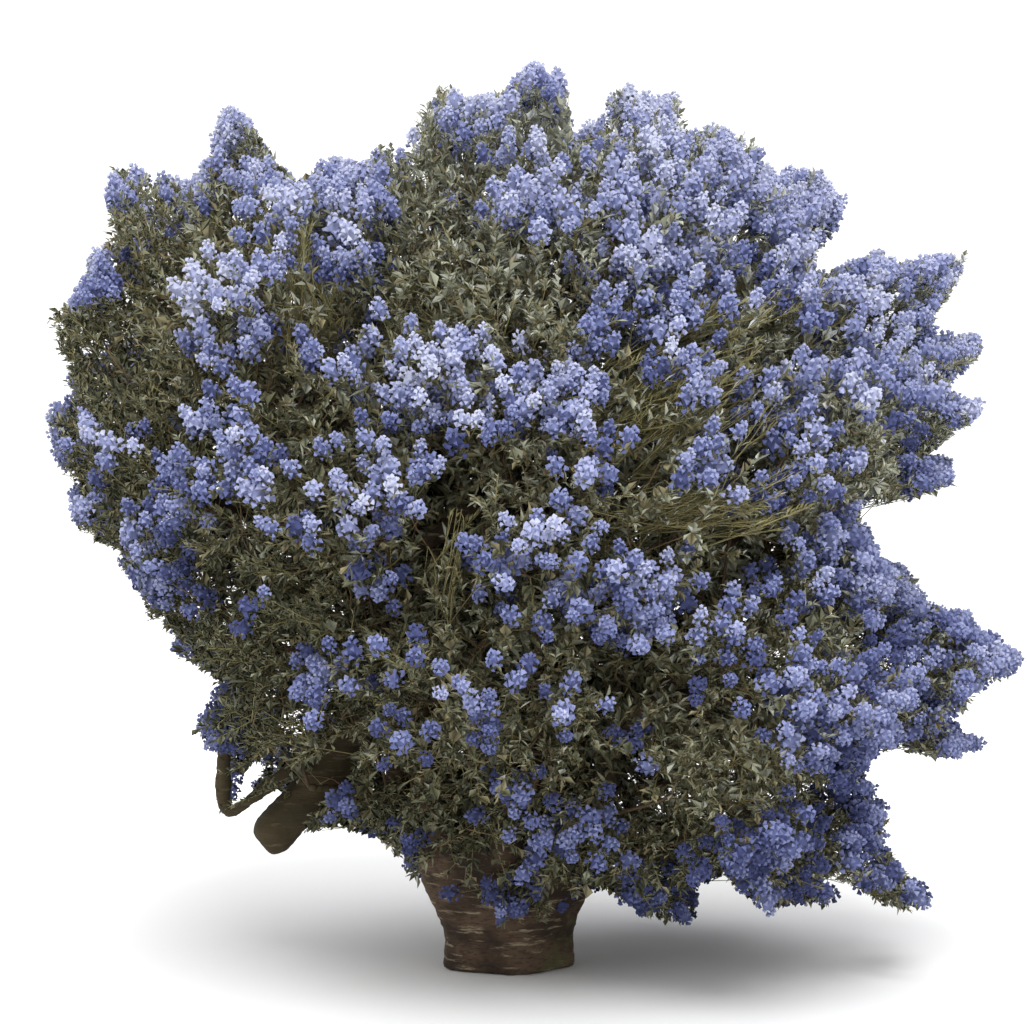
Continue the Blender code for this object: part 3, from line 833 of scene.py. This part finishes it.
def branch(starts, startFar, targets):
    # joins each target to the wood by the cheapest way, nearest first; gives every spot's parent
    spots = np.vstack([starts, targets])
    far = np.concatenate([startFar, np.zeros(len(targets))])
    parent = np.full(len(spots), -1)
    cost = gap(targets[:, None], starts[None]) + branching["pathCost"] * startFar[None]
    link = cost.argmin(1)
    least = cost[np.arange(len(targets)), link]
    waiting = np.ones(len(targets), bool)
    order = []
    for _ in range(len(targets)):
        i = int(np.argmin(np.where(waiting, least, np.inf)))
        waiting[i] = False
        spot = len(starts) + i
        parent[spot] = link[i]
        far[spot] = far[link[i]] + np.linalg.norm(spots[spot] - spots[link[i]])
        order.append(spot)
        reach = gap(targets, targets[i]) + branching["pathCost"] * far[spot]
        better = waiting & (reach < least)
        least[better], link[better] = reach[better], spot
    return spots, parent, order


starts, startFar = limbStarts()
spots, parent, order = branch(starts, startFar, targets)
load = np.zeros(len(spots))  # how many sprays each spot carries
for spot in reversed(order):
    load[spot] = max(load[spot], 1.0)
    load[parent[spot]] += load[spot]
twigRadius = np.minimum(branching["endRadius"] * load**(1 / branching["exponent"]), branching["most"])


def growTwigs():
    # smooth strands from each limb outwards, the heaviest child going on and the rest branching off
    children = {}
    for spot in order:
        children.setdefault(parent[spot], []).append(spot)
    old, thin = Tubes(), Tubes()
    waiting = [(root, spot) for root in list(children) if root < len(starts) for spot in children[root]]
    while waiting:
        start, spot = waiting.pop()
        strand, radii = [spots[start]], []
        while True:
            strand.append(spots[spot])
            radii.append(twigRadius[spot])
            nexts = sorted(children.get(spot, []), key=lambda s: -load[s])
            waiting += [(spot, other) for other in nexts[1:]]
            if not nexts:
                break
            spot = nexts[0]
        radii = [min(radii[0] * 1.25, branching["most"])] + radii
        fine, places = curveThrough(strand, branching["step"])
        fine = broughtIn(wandered(fine, *branching["wander"], 3), sprays["margins"][1])
        radii = np.interp(places, np.arange(len(radii)), radii)
        if radii[0] > branching["old"]:
            old.add(fine, radii, 6 if radii[0] > branching["stout"] else 5)
        else:
            thin.add(fine, radii, 4)
    return old, thin


oldTwigs, thinTwigs = growTwigs()
print(f"  {len(order)} twigs, the thickest {twigRadius[len(starts):].max() * 1000:.1f} mm")


print("stage 5: shoots, leaves and heads of blossom")

shoots = {
    "sideShare": (0.15, 0.75), "sideAngle": (0.4, 0.85), "sideLength": (0.3, 0.6),
    "insideLength": (0.07, 0.13), "insideCount": 3,
    "radius": 0.0013, "taper": 0.55, "bend": {"main": 0.08, "side": 0.12, "inside": 0.10},
    "sides": 3,
    "rich": 0.8,  # sprays richer than this have more side shoots
    "richSides": 5,
}
leaves = {  # sizes are the length and the width
    "outside": (0.0185, 0.0115), "inside": (0.0275, 0.0180), "deep": (0.038, 0.026), "uneven": 0.25,
    "main": 20, "side": 13, "mainFlowering": 9, "sideFlowering": 5, "rim": 8,  # how many on a shoot
    "count": {"inside": 14, "deep": 8},
    "bare": 0.22,  # share of a shoot before its first leaf
    "gapShare": 0.9,  # how far leaves thin out where sky shows
    "forward": 0.75, "outward": 0.9, "upward": 0.15, "loose": 0.25,
}
heads = {
    "threshold": 0.5,  # how rich a spray is before it flowers
    "stalk": 0.05, "sideMargin": 0.02,
    "size": (0.9, 0.3), "sideSize": (0.65, 0.35), "sideChance": (0.35, 0.65),  # the least and what is added
}
outsideKind, insideKind, strawKind = range(3)  # the kinds of leaf, which differ in colour
dice = np.random.default_rng(31)
leafAt, leafWay, leafSize, leafKind = [], [], [], []
headAt, headWay, headSize = [], [], []
greenShoots, oliveShoots = Tubes(), Tubes()


def growShoot(base, way, length, count, size, kind, tubes, bend, joints=3, outward=leaves["outward"]):
    # one shoot with leaves along its outer part; gives its tip and the way it points there
    across = anyAcross(way[None])[0]
    lean = turned(across[None], way[None], np.array([dice.uniform(0, math.tau)]))[0]
    t = np.linspace(0, 1, joints)[:, None]
    over = beyondOutline((base + way * length)[None])[0] + 0.01
    length = max(0.3 * length, length - 1.5 * max(over, 0.0))
    line = base + way * length * t + lean * bend * length * t**2
    if hidesLimb(line, 0.035).any() or beyondOutline(line).max() > 0.003:
        return line[-1], way
    tubes.add(line, np.linspace(shoots["radius"], shoots["radius"] * shoots["taper"], joints), 3)
    place = dice.uniform(leaves["bare"], 1.0, count)[:, None]
    angle = dice.uniform(0, math.tau, count)
    radial = turned(np.repeat(across[None], count, 0), np.repeat(way[None], count, 0), angle)
    leafAt.append(base + way * length * place + lean * bend * length * place**2)
    leafWay.append(unit(leaves["forward"] * way + outward * radial + leaves["upward"] * up
                        + leaves["loose"] * dice.normal(size=(count, 3))))
    leafSize.append(np.array(size) * dice.normal(1, leaves["uneven"], (count, 1)).clip(0.5, 1.6))
    leafKind.append(np.full(count, kind))
    return line[-1], unit(way + lean * bend * 2)


def addHead(at, way, size):
    # notes where a head of blossom stands, the way it points and its size
    headAt.append(at)
    headWay.append(way)
    headSize.append(size)


def growSpray(base, way, length, rich, onRim):
    # a shoot with side shoots round it, and a head of blossom at the tips where it flowers
    flowering = rich > heads["threshold"]
    tubes = greenShoots if flowering else oliveShoots
    count = leaves["mainFlowering" if flowering else "main"] + onRim * leaves["rim"]
    end, endWay = growShoot(base, way, length - flowering * heads["stalk"], count, leaves["outside"],
                            outsideKind, tubes, shoots["bend"]["main"])
    if flowering:
        addHead(end, endWay, heads["size"][0] + heads["size"][1] * rich * dice.random())
    sides = shoots["richSides"] if rich > shoots["rich"] else shoots["sides"]
    turnAt = dice.uniform(0, math.tau)
    across = anyAcross(way[None])
    count = leaves["sideFlowering" if flowering else "side"] + onRim * leaves["rim"] // 2
    for k in range(sides):
        around = turned(across, way[None], np.array([turnAt + k * math.tau / sides]))[0]
        angle = dice.uniform(*shoots["sideAngle"])
        sideWay = unit(way * math.cos(angle) + around * math.sin(angle) + 0.1 * up)
        start = base + way * length * dice.uniform(*shoots["sideShare"])
        reach = length * dice.uniform(*shoots["sideLength"])
        if beyondOutline((start + sideWay * (reach + heads["stalk"]))[None])[0] > 0:
            reach *= 0.45
        end, endWay = growShoot(start, sideWay, reach, count, leaves["outside"], outsideKind, tubes,
                                shoots["bend"]["side"], 2)
        chance = heads["sideChance"][0] + heads["sideChance"][1] * rich
        if flowering and dice.random() < chance and beyondOutline(end[None])[0] < -heads["sideMargin"]:
            size = heads["sideSize"][0] + heads["sideSize"][1] * dice.random()
            addHead(end, unit(endWay + 0.4 * way), size)


def growInside(place):
    # three leafy shoots, with few and large leaves where they are deep in the crown
    way = unit(unit(place - heart) + 0.6 * dice.normal(size=3))
    depth = "deep" if np.linalg.norm((place - heart) / crown["deepReach"]) < 1 else "inside"
    for _ in range(shoots["insideCount"]):
        sideWay = unit(way + 0.7 * dice.normal(size=3) + 0.2 * up)
        length = dice.uniform(*shoots["insideLength"])
        growShoot(place, sideWay, length, leaves["count"][depth], leaves[depth], insideKind, oliveShoots,
                  shoots["bend"]["inside"], 2)


for base, way, length, rich, over in zip(tipBase, tipWay, tipLength, tipRich, beyondOutline(tips)):
    growSpray(base, way, length, rich, over > -0.05)
for place in inside:
    growInside(place)

strawFans = {  # x, z, bearing, spread, half-width, half-height and how many shoots
    "high": (0.38, 1.40, 36, 14, 0.15, 0.10, 100), "middle": (0.47, 1.14, 10, 12, 0.14, 0.05, 44),
    "far": (0.72, 1.61, 26, 14, 0.10, 0.05, 26), "left": (-0.505, 1.68, 98, 24, 0.06, 0.08, 30),
    "right": (0.49, 1.60, 32, 12, 0.08, 0.04, 20), "limbs": (-0.13, 1.03, 80, 18, 0.06, 0.12, 6),
    "topRight": (0.30, 2.06, 46, 16, 0.08, 0.06, 16), "crossing": (0.62, 1.60, 26, 3, 0.10, 0.02, 3),
    "stalk": (0.20, 1.585, 30, 3, 0.02, 0.01, 3),
}
straw = {
    "length": (0.10, 0.24),
    "radius": 0.0013,
    "under": (0.01, 0.12),  # how far behind the crown's front they lie
    "widest": 0.08,  # the least half-width over which that front is looked for
    "forward": 0.28,
    "bend": 0.14,
    "leaves": 16,
    "leafSize": (0.0230, 0.0062),
    "outward": 0.3,
}


def growFans():
    # straight straw-coloured shoots, each from the nearest twig behind it
    tubes = Tubes()
    seenTips = seenPlace(tips)
    for x, z, bearing, spread, w, h, count in strawFans.values():
        reach = np.maximum((w, h), straw["widest"])
        near = np.sum(((seenTips - (x, z)) / reach)**2, 1) < 2.5
        front = np.percentile(tips[near & (tips[:, 1] < 0.1), 1], 30)
        for _ in range(count):
            middle = fromSeen(x + dice.normal() * w * 0.6, z + dice.normal() * h * 0.6,
                              front + dice.uniform(*straw["under"]))
            angle = math.radians(bearing + dice.normal() * spread)
            forward = straw["forward"] - 0.15 * dice.normal()
            way = unit(np.array((math.cos(angle), -forward, math.sin(angle))))
            length = dice.uniform(*straw["length"])
            start = middle - way * length * 0.5
            near = spots[len(starts) + gap(spots[len(starts):], start).argmin()]
            end = middle + way * length * 0.5
            if beyondOutline(end[None])[0] > -0.02:
                continue
            aside = unit(way + straw["bend"] * dice.normal(size=3))
            line = np.vstack([near, swingLine(start, aside, end, unit(way + 0.12 * up), 4)])
            if hidesLimb(line, 0.05).any():
                continue
            tubes.add(line, straw["radius"] * np.array((1.2, 1.1, 1.0, 0.8, 0.5)), 3)
            growShoot(start, way, length, straw["leaves"], straw["leafSize"], strawKind, oliveShoots, 0.05,
                      outward=straw["outward"])
    return tubes


droop = {  # the leafy strand that hangs in a loop by the pruned limb
    "turns": [  # x and z from the front
        (-0.62, 0.68), (-0.68, 0.60), (-0.704, 0.54), (-0.709, 0.46), (-0.707, 0.40), (-0.695, 0.378),
        (-0.665, 0.395), (-0.61, 0.437), (-0.555, 0.475), (-0.50, 0.53),
    ],
    "depth": -0.08, "radius": (0.0110, 0.0125),
    "shoots": 220, "length": (0.008, 0.020), "leaves": 5, "leafSize": (0.0150, 0.0100),
}


def growDroop():
    # gives the hanging strand's line, after its leaves have grown
    turns = np.array(droop["turns"])
    line, _ = curveThrough(fromSeen(turns[:, 0], turns[:, 1], np.full(len(turns), droop["depth"])), 0.02)
    for _ in range(droop["shoots"]):
        step = dice.integers(2, len(line) - 2)
        way = unit(1.2 * unit(line[step + 1] - line[step]) + dice.normal(size=3) * (0.8, 0.6, 0.8))
        length = dice.uniform(*droop["length"])
        growShoot(line[step], way, length, droop["leaves"], droop["leafSize"], outsideKind, oliveShoots,
                  shoots["bend"]["inside"], 2)
    return line


strawShoots = growFans()
droopLine = growDroop()
leafAt, leafWay = np.vstack(leafAt), np.vstack(leafWay)
leafSize, leafKind = np.vstack(leafSize), np.concatenate(leafKind)
headAt, headWay, headSize = np.array(headAt), np.array(headWay), np.array(headSize)
depthLimit = (cadBox[0][1] - plant["pastMasses"], cadBox[1][1] + plant["pastMasses"])


def insideCrown(points, half, margin):
    # which round things show inside the outline, clear of the pruned limb and within the crown's depth
    kept = (points[:, 1] > depthLimit[0]) & (points[:, 1] < depthLimit[1]) & ~hidesLimb(points, 0.03 + half)
    for x, z in ((0, 0), (1, 0), (-1, 0), (0, 1), (0, -1)):
        kept &= beyondOutline(points + half * np.array((x, 0, z))) < margin
    return kept


kept = insideCrown(headAt + headWay * 0.030, 0.016, 0.006)
headAt, headWay, headSize = headAt[kept], headWay[kept], headSize[kept]
kept = insideCrown(leafAt + leafWay * leafSize[:, :1] * 0.6, 0.003, 0.005)
kept &= dice.random(len(leafAt)) > leaves["gapShare"] * patchSum(seenPlace(leafAt), skyGaps.values())
leafAt, leafWay, leafSize, leafKind = leafAt[kept], leafWay[kept], leafSize[kept], leafKind[kept]
print(f"  {len(leafAt)} leaves, {len(headAt)} heads")


print("stage 6: the shapes that repeat")


def shapeArrays(obj):
    # the points and triangles of a modelled shape, which is then taken away
    mesh = obj.data
    mesh.calc_loop_triangles()
    co = np.array([v.co[:] for v in mesh.vertices])
    tri = np.array([t.vertices[:] for t in mesh.loop_triangles])
    bpy.data.objects.remove(obj)
    return co, tri


def dealt(shapes, triangles, at, frames, sizes):
    # copies of a shape: frames are rows of three axes, sizes one scale for each axis
    points = np.einsum("nvk,nkc->nvc", shapes * sizes[:, None, :], frames) + at[:, None, :]
    faces = triangles[None] + (np.arange(len(at)) * shapes.shape[1])[:, None, None]
    return points.reshape(-1, 3), faces


leafTints = [  # name, colour and the tone it starts at; lighter and darker tints that the painted light in the tones picks from
    ("leafDeep", (79, 80, 61), -9), ("leafOlive", (113, 113, 86), -0.45),
    ("leafBrown", (134, 126, 95), -0.14), ("leafGrey", (150, 152, 130), 0.08),
    ("leafPale", (180, 182, 166), 0.42), ("leafCream", (205, 208, 206), 0.90),
    ("leafStraw", (132, 127, 84), 9),
]
leafToneWithPaintedLight = {  # what makes leaves paler: above, below and across are painted light, paler higher up and towards the right and darker low down; inside makes the leaves within the crown darker; patches and chance vary at random and fan makes the leaves in the bare gaps paler
    "middle": 1.25,  # the height where the tone is 0
    # above and below: painted light, paler above the middle height and darker below it
    "above": 0.75,
    "below": 0.28,
    "across": (0.42, 0.1),  # painted light: paler towards the right from here
    "patches": (0.25, 0.15),
    "chance": 0.30,
    "fan": 0.25,
    "inside": -0.05,
    "strawShare": 0.65,  # of the leaves in fans that are straw-coloured, the last tint
}
leafShape = {"rise": 0.17, "upright": 0.5, "turned": 0.4, "pieces": 4}


def sectors(points, count):
    # deals points out by their bearing round the plant, as many to each number
    bearing = np.arctan2(points[:, 1], points[:, 0]).argsort().argsort()
    return bearing * count // len(points)


def tintOf(tone, tints):
    # the number of the material whose tone it is
    return np.searchsorted([start for _, _, start in tints[1:]], tone)


def toneOfLeavesWithPaintedLight(rng):
    # painted light: paler towards the top and the right; also darker inside the crown, and paler in patches,
    # by chance and in the fans
    rise = leafAt[:, 2] - leafToneWithPaintedLight["middle"]
    tone = leafToneWithPaintedLight["above"] * np.maximum(rise, 0) + leafToneWithPaintedLight["below"] * np.minimum(rise, 0)
    slope, start = leafToneWithPaintedLight["across"]
    chance = leafToneWithPaintedLight["chance"] * rng.normal(size=len(rise))
    tone += slope * (leafAt[:, 0] - start) * frontShare(leafAt) + chance
    strength, size = leafToneWithPaintedLight["patches"]
    tone += strength * cloud(leafAt, size, 41) + leafToneWithPaintedLight["inside"] * (leafKind == insideKind)
    tone += leafToneWithPaintedLight["fan"] * patchSum(seenPlace(leafAt), bareGaps.values()) * frontShare(leafAt)
    return np.where((leafKind == strawKind) & (rng.random(len(rise)) < leafToneWithPaintedLight["strawShare"]), np.inf, tone)


def leafPieces():
    deselectAll()
    bpy.ops.mesh.primitive_circle_add(vertices=4, radius=0.5, fill_type="NGON", location=(0, 0, 0))
    co, _ = shapeArrays(bpy.context.object)
    co[:, 1] += 0.5
    widest = np.abs(co[:, 0]) > 0.3
    co[widest, 2] += leafShape["rise"]  # the two halves rise from the middle vein
    ends = np.flatnonzero(~widest)
    tri = np.array([[ends[0], ends[1], side] for side in np.flatnonzero(widest)])
    rng = np.random.default_rng(51)
    across = anyAcross(leafWay)
    loose = leafShape["turned"] * rng.normal(size=leafWay.shape)
    across = unit(np.cross(leafWay, unit(np.cross(across, leafWay) + leafShape["upright"] * up + loose)))
    frames = np.stack([across, leafWay, np.cross(across, leafWay)], 1)
    scale = np.stack([leafSize[:, 1], leafSize[:, 0], leafSize[:, 1]], 1)
    tint = tintOf(toneOfLeavesWithPaintedLight(rng), leafTints)
    materials = [plainMaterial(name, screen, 0.55, 0.35) for name, screen, _ in leafTints]
    group = sectors(leafAt, leafShape["pieces"])
    for k in range(leafShape["pieces"]):
        mine = group == k
        shapes = np.repeat(co[None], mine.sum(), 0)
        verts, faces = dealt(shapes, tri, leafAt[mine], frames[mine], scale[mine])
        faceTint = np.repeat(tint[mine], len(tri))
        piece = joinedPiece(f"leaves{k + 1}", verts, faces, materials, "leaf", faceTint)
        if k == 0:
            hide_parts(*massNodes)


florets = {
    "perHead": 20,  # tufts on a head, each standing for a few florets
    "radius": 0.0064, "length": 0.0150, "rough": 0.25, "variants": 12,
    "headLength": 0.052, "headWidth": 0.024, "coreWidth": 0.0165,
    "lift": 0.30,  # how much heads turn up
    "opening": (1.35, 1.15, 0.12),  # how far the lowest tufts lean out, how much less the top, and chance
    "size": (0.75, 1.2),
    "soft": 0.70,  # share of a tuft's shading that follows the round of its head
    "pieces": 5,
}
blossomToneWithPaintedLight = {  # what makes blossom paler or darker: the height, richness, recess (over the heads within around), facing-up, along-head, along-tuft and core terms are painted light and shade, paler higher up, in rich clumps, facing up and towards the tips, darker where recessed and in the cores; clump is partly painted light and partly the blossom's own colour; chance and tuftChance vary at random
    "clump": 0.40, "height": (0.28, 1.15), "rich": (0.45, 0.82), "recess": 7, "around": 0.12, "chance": 0.14,
    "paintedLightFacingUp": 0.22, "paintedLightAlongHead": 0.24, "paintedLightAlongTuft": (0.20, 0.55), "tuftChance": 0.08, "core": -0.15,
}
blossomTints = [  # name, colour and the tone it starts at; lighter and darker tints that the painted light and shade in the tones pick from
    ("blossomDeep", (70, 76, 116), -9), ("blossomBlue", (94, 101, 144), -0.30),
    ("blossomMid", (117, 124, 165), -0.02), ("blossomSoft", (136, 142, 180), 0.22),
    ("blossomLight", (156, 161, 194), 0.48), ("blossomPale", (178, 182, 206), 0.80),
]


def floretShapes():
    # blunt little tufts, one long along +Z and widest past the middle
    deselectAll()
    bpy.ops.mesh.primitive_cone_add(vertices=3, radius1=1, depth=2, end_fill_type="TRIFAN",
                                    location=(0, 0, 0))
    co, tri = shapeArrays(bpy.context.object)
    made, rough = [], florets["rough"]
    for k in range(florets["variants"]):
        rng = np.random.default_rng(40 + k)
        shape = co.copy()
        shape[:, :2] *= rng.uniform(1 - rough, 1 + rough, (len(co), 1)) * 1.12
        rim = np.linalg.norm(co[:, :2], axis=1) > 0.5
        shape[:, 2] = np.where(rim, 0.60 + rng.uniform(-0.18, 0.18, len(co)), (co[:, 2] + 1) / 2)
        shape[:, :2] += 0.2 * rng.normal(size=2) * (shape[:, 2:] > 0.9)
        made.append(shape)
    return np.array(made), tri


def recessOf(points):
    # how far each head lies behind the heads round it, seen from outside
    tree = KDTree(len(points))
    for i, point in enumerate(points):
        tree.insert(point, i)
    tree.balance()
    outward = unit(points - heart)
    recess = np.zeros(len(points))
    for i, point in enumerate(points):
        near = np.array([found[1] for found in tree.find_range(point, blossomToneWithPaintedLight["around"])])
        recess[i] = ((points[near] - point) @ outward[i]).mean()
    return recess


def toneOfHeadsWithPaintedLight(rng):
    # painted light and shade: paler towards the top, in rich clumps and where they stand proud of the
    # others, darker in leafy places and where recessed; paler too in the named pale clumps, partly painted
    # light and partly their own colour; and varied by chance
    # painted light: paler higher up, darker low down
    slope, middle = blossomToneWithPaintedLight["height"]
    tone = blossomToneWithPaintedLight["clump"] * palenessAndPaintedLight(headAt) + slope * (headAt[:, 2] - middle)
    tone = tone + rng.normal(0, blossomToneWithPaintedLight["chance"], len(headAt))
    # painted shade on heads in leafy places, painted light on those in rich clumps
    slope, middle = blossomToneWithPaintedLight["rich"]
    tone += slope * (richness(headAt) - middle)
    # painted shade on heads recessed behind the heads round them
    return tone - blossomToneWithPaintedLight["recess"] * recessOf(headAt)


def tuftsOfHeads(rng, axis):
    # tufts in a spiral up each head and a core under them: their places, ways, scales and tones, with
    # painted light on tufts that face up or stand higher on the head and painted shade on the core
    n, count = len(headAt), florets["perHead"]
    side = anyAcross(axis)
    spin = rng.uniform(0, math.tau, n)
    headTone = toneOfHeadsWithPaintedLight(rng)
    lean, closing, chance = florets["opening"]
    at, ways, sizes, tone = [], [], [], []
    for k in range(count):
        rise = (k + 0.5) / count + rng.uniform(-0.03, 0.03, n)
        swell = np.sqrt(np.clip(1 - (2 * rise - 0.8)**2 * 0.75, 0.05, 1))
        opening = lean - closing * rise + rng.normal(0, chance, n)
        around = turned(side, axis, spin + k * golden)
        ways.append(unit(axis * np.cos(opening)[:, None] + around * np.sin(opening)[:, None]))
        at.append(headAt + axis * (rise * florets["headLength"] * headSize)[:, None]
                  + around * (swell * florets["headWidth"] * 0.5 * headSize)[:, None])
        sizes.append(headSize * rng.uniform(*florets["size"], n) * (0.75 + 0.25 * swell))
        # painted light: tufts that face up or stand higher on the head are paler
        tone.append(headTone + blossomToneWithPaintedLight["paintedLightFacingUp"] * ways[-1][:, 2]
                    + blossomToneWithPaintedLight["paintedLightAlongHead"] * (rise - 0.5) + rng.normal(0, blossomToneWithPaintedLight["tuftChance"], n))
    # the core under the tufts gets painted shade, a darker tint
    at.append(headAt + axis * (0.02 * florets["headLength"] * headSize)[:, None])
    ways.append(axis)
    sizes.append(headSize)
    tone.append(headTone + blossomToneWithPaintedLight["core"])
    tuft = np.array((florets["radius"], florets["radius"], florets["length"]))
    core = np.array((florets["coreWidth"], florets["coreWidth"], florets["headLength"]))
    scale = np.concatenate(sizes)[:, None] * np.repeat([tuft, core], (n * count, n), 0)
    return np.vstack(at), np.vstack(ways), scale, np.concatenate(tone)


def blossomPieces():
    rng = np.random.default_rng(61)
    shapes, tri = floretShapes()
    axis = unit(headWay + florets["lift"] * up)
    at, ways, scale, tone = tuftsOfHeads(rng, axis)
    across = turned(anyAcross(ways), ways, rng.uniform(0, math.tau, len(ways)))
    frames = np.stack([across, np.cross(ways, across), ways], 1)
    variant = rng.integers(len(shapes), size=len(at))
    # painted light: each tuft is paler towards its tip and darker at its base
    slope, middle = blossomToneWithPaintedLight["paintedLightAlongTuft"]
    along = shapes[variant][:, tri].mean(2)[:, :, 2]
    tint = tintOf(tone[:, None] + slope * (along - middle), blossomTints)
    # each tuft is shaded partly as its own round shape and partly as the round of its head
    perHead = florets["perHead"] + 1
    own = np.repeat(at + ways * (0.5 * scale[:, 2:]), shapes.shape[1], 0)
    whole = np.repeat(np.tile(headAt - 0.012 * axis, (perHead, 1)), shapes.shape[1], 0)
    materials = [plainMaterial(name, screen, 0.85, 0.15) for name, screen, _ in blossomTints]
    group = np.tile(sectors(headAt, florets["pieces"]), perHead)
    for k in range(florets["pieces"]):
        mine = group == k
        verts, faces = dealt(shapes[variant[mine]], tri, at[mine], frames[mine], scale[mine])
        point = np.repeat(mine, shapes.shape[1])
        soft = florets["soft"]
        normals = unit((1 - soft) * unit(verts - own[point]) + soft * unit(verts - whole[point]))
        joinedPiece(f"blossom{k + 1}", verts, faces, materials, "blossom", tint[mine].ravel(), normals)


leafPieces()
blossomPieces()
for name, tubes, colour, roughness, slot in (
        ("shootsStraw", strawShoots, (144, 136, 94), 0.6, "leaf"),
        ("shootsGreen", greenShoots, (100, 98, 62), 0.6, "leaf"),
        ("shootsOlive", oliveShoots, (128, 120, 76), 0.6, "leaf"),
        ("twigsOld", oldTwigs, (84, 68, 52), 0.85, "bark"),
        ("twigsThin", thinTwigs, (104, 88, 62), 0.8, "bark")):
    joinedPiece(name, *tubes.arrays(), [plainMaterial(name, colour, roughness)], slot)


print("stage 7: trunk and boughs with their bark")


bark = {
    "voxel": 0.0075,
    "lumps": 0.0055,
    "ridges": 0.0024,
    "limb": 0.25,  # how strong the relief is on the limbs
    "pruned": 1.1,  # and on the pruned limb and the strand by it, which are left of leftOf
    "leftOf": -0.25,
    "foot": 0.01,  # the relief fades out over this height above the ground
    "triangles": 110000,
}


def barkPiece():
    tubes = Tubes()
    for limb in innerBoughs:
        tubes.add(limb["line"], limb["radii"], 8)
    tubes.add(droopLine, np.linspace(*droop["radius"], len(droopLine)), 8)
    solid = stacked([tubes.arrays()] + [nodeMesh(name) for name in woodNodes])
    wood = joinedPiece("bark", *solid, [barkMaterial()], "bark")
    deselectAll()
    bpy.context.view_layer.objects.active = wood
    wood.select_set(True)
    fuse = wood.modifiers.new("fuse", "REMESH")
    fuse.mode = "VOXEL"
    fuse.voxel_size = bark["voxel"]
    bpy.ops.object.modifier_apply(modifier="fuse")
    soften = wood.modifiers.new("soften", "SMOOTH")
    soften.factor, soften.iterations = 0.5, 6
    bpy.ops.object.modifier_apply(modifier="soften")
    mesh = wood.data
    co, normals = readAll(mesh.vertices, "co").astype(float), readAll(mesh.vertices, "normal")
    thick = np.clip((0.42 - co[:, 2]) / 0.12, 0, 1) + bark["limb"]  # the trunk is rougher than the limbs
    thick = np.where(co[:, 0] < bark["leftOf"], bark["pruned"], thick)
    relief = bark["lumps"] * cloud(co, 0.07, 71) + bark["ridges"] * cloud(co * (1, 1, 5), 0.075, 72)
    relief += bark["ridges"] * 0.6 * cloud(co * (1, 1, 3), 0.028, 73)
    fadeIn = np.clip(co[:, 2] / bark["foot"], 0, 1)
    relief *= thick * fadeIn
    swell = 0.002 + 0.005 * np.clip(-co[:, 0] / 0.1, 0, 1)  # makes up for what the smoothing takes off
    co += normals * (relief + swell * fadeIn)[:, None]
    mesh.vertices.foreach_set("co", co.astype(np.float32).ravel())
    mesh.update()
    thin = wood.modifiers.new("thin", "DECIMATE")
    thin.ratio = min(1.0, bark["triangles"] / (len(mesh.polygons) * 2))
    bpy.ops.object.modifier_apply(modifier="thin")
    bpy.ops.object.shade_smooth()
    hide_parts(*woodNodes)
    print(f"  bark: {sum(len(p.vertices) - 2 for p in wood.data.polygons)} triangles")


barkPiece()


print("stage 8: floor, light and camera")

studio = {
    "distance": 5.8, "height": 1.13, "across": 0.01625, "sensor": 36.0,
    "width": (1027, 0.0025),  # of the frame, in pixels and metres a pixel
    "sun": 2.15, "sunTurn": (40, 0, 4), "sunAngle": 30, "sky": 1.32,
}
deselectAll()
bpy.ops.mesh.primitive_plane_add(size=60, location=(0, 0, -0.002))
floor = bpy.context.object
floor.name = "floor"
floor.data.materials.append(plainMaterial("floor", (238, 238, 238), 0.95, 0.1))
world = bpy.data.worlds.new("studio")
bpy.context.scene.world = world
world.use_nodes = True
world.node_tree.nodes["Background"].inputs["Color"].default_value = (1.0, 1.0, 1.0, 1.0)
world.node_tree.nodes["Background"].inputs["Strength"].default_value = studio["sky"]
bpy.ops.object.light_add(type="SUN", location=(-3, -4, 6),
                         rotation=[math.radians(turn) for turn in studio["sunTurn"]])
sun = bpy.context.object
sun.data.energy = studio["sun"]
sun.data.angle = math.radians(studio["sunAngle"])
bpy.ops.object.camera_add(location=(studio["across"], -studio["distance"], studio["height"]),
                          rotation=(math.radians(90), 0, 0))
camera = bpy.context.object
camera.data.sensor_width = studio["sensor"]
camera.data.lens = studio["sensor"] * studio["distance"] / (studio["width"][0] * studio["width"][1])
bpy.context.scene.camera = camera
bpy.context.scene.view_settings.view_transform = "Standard"
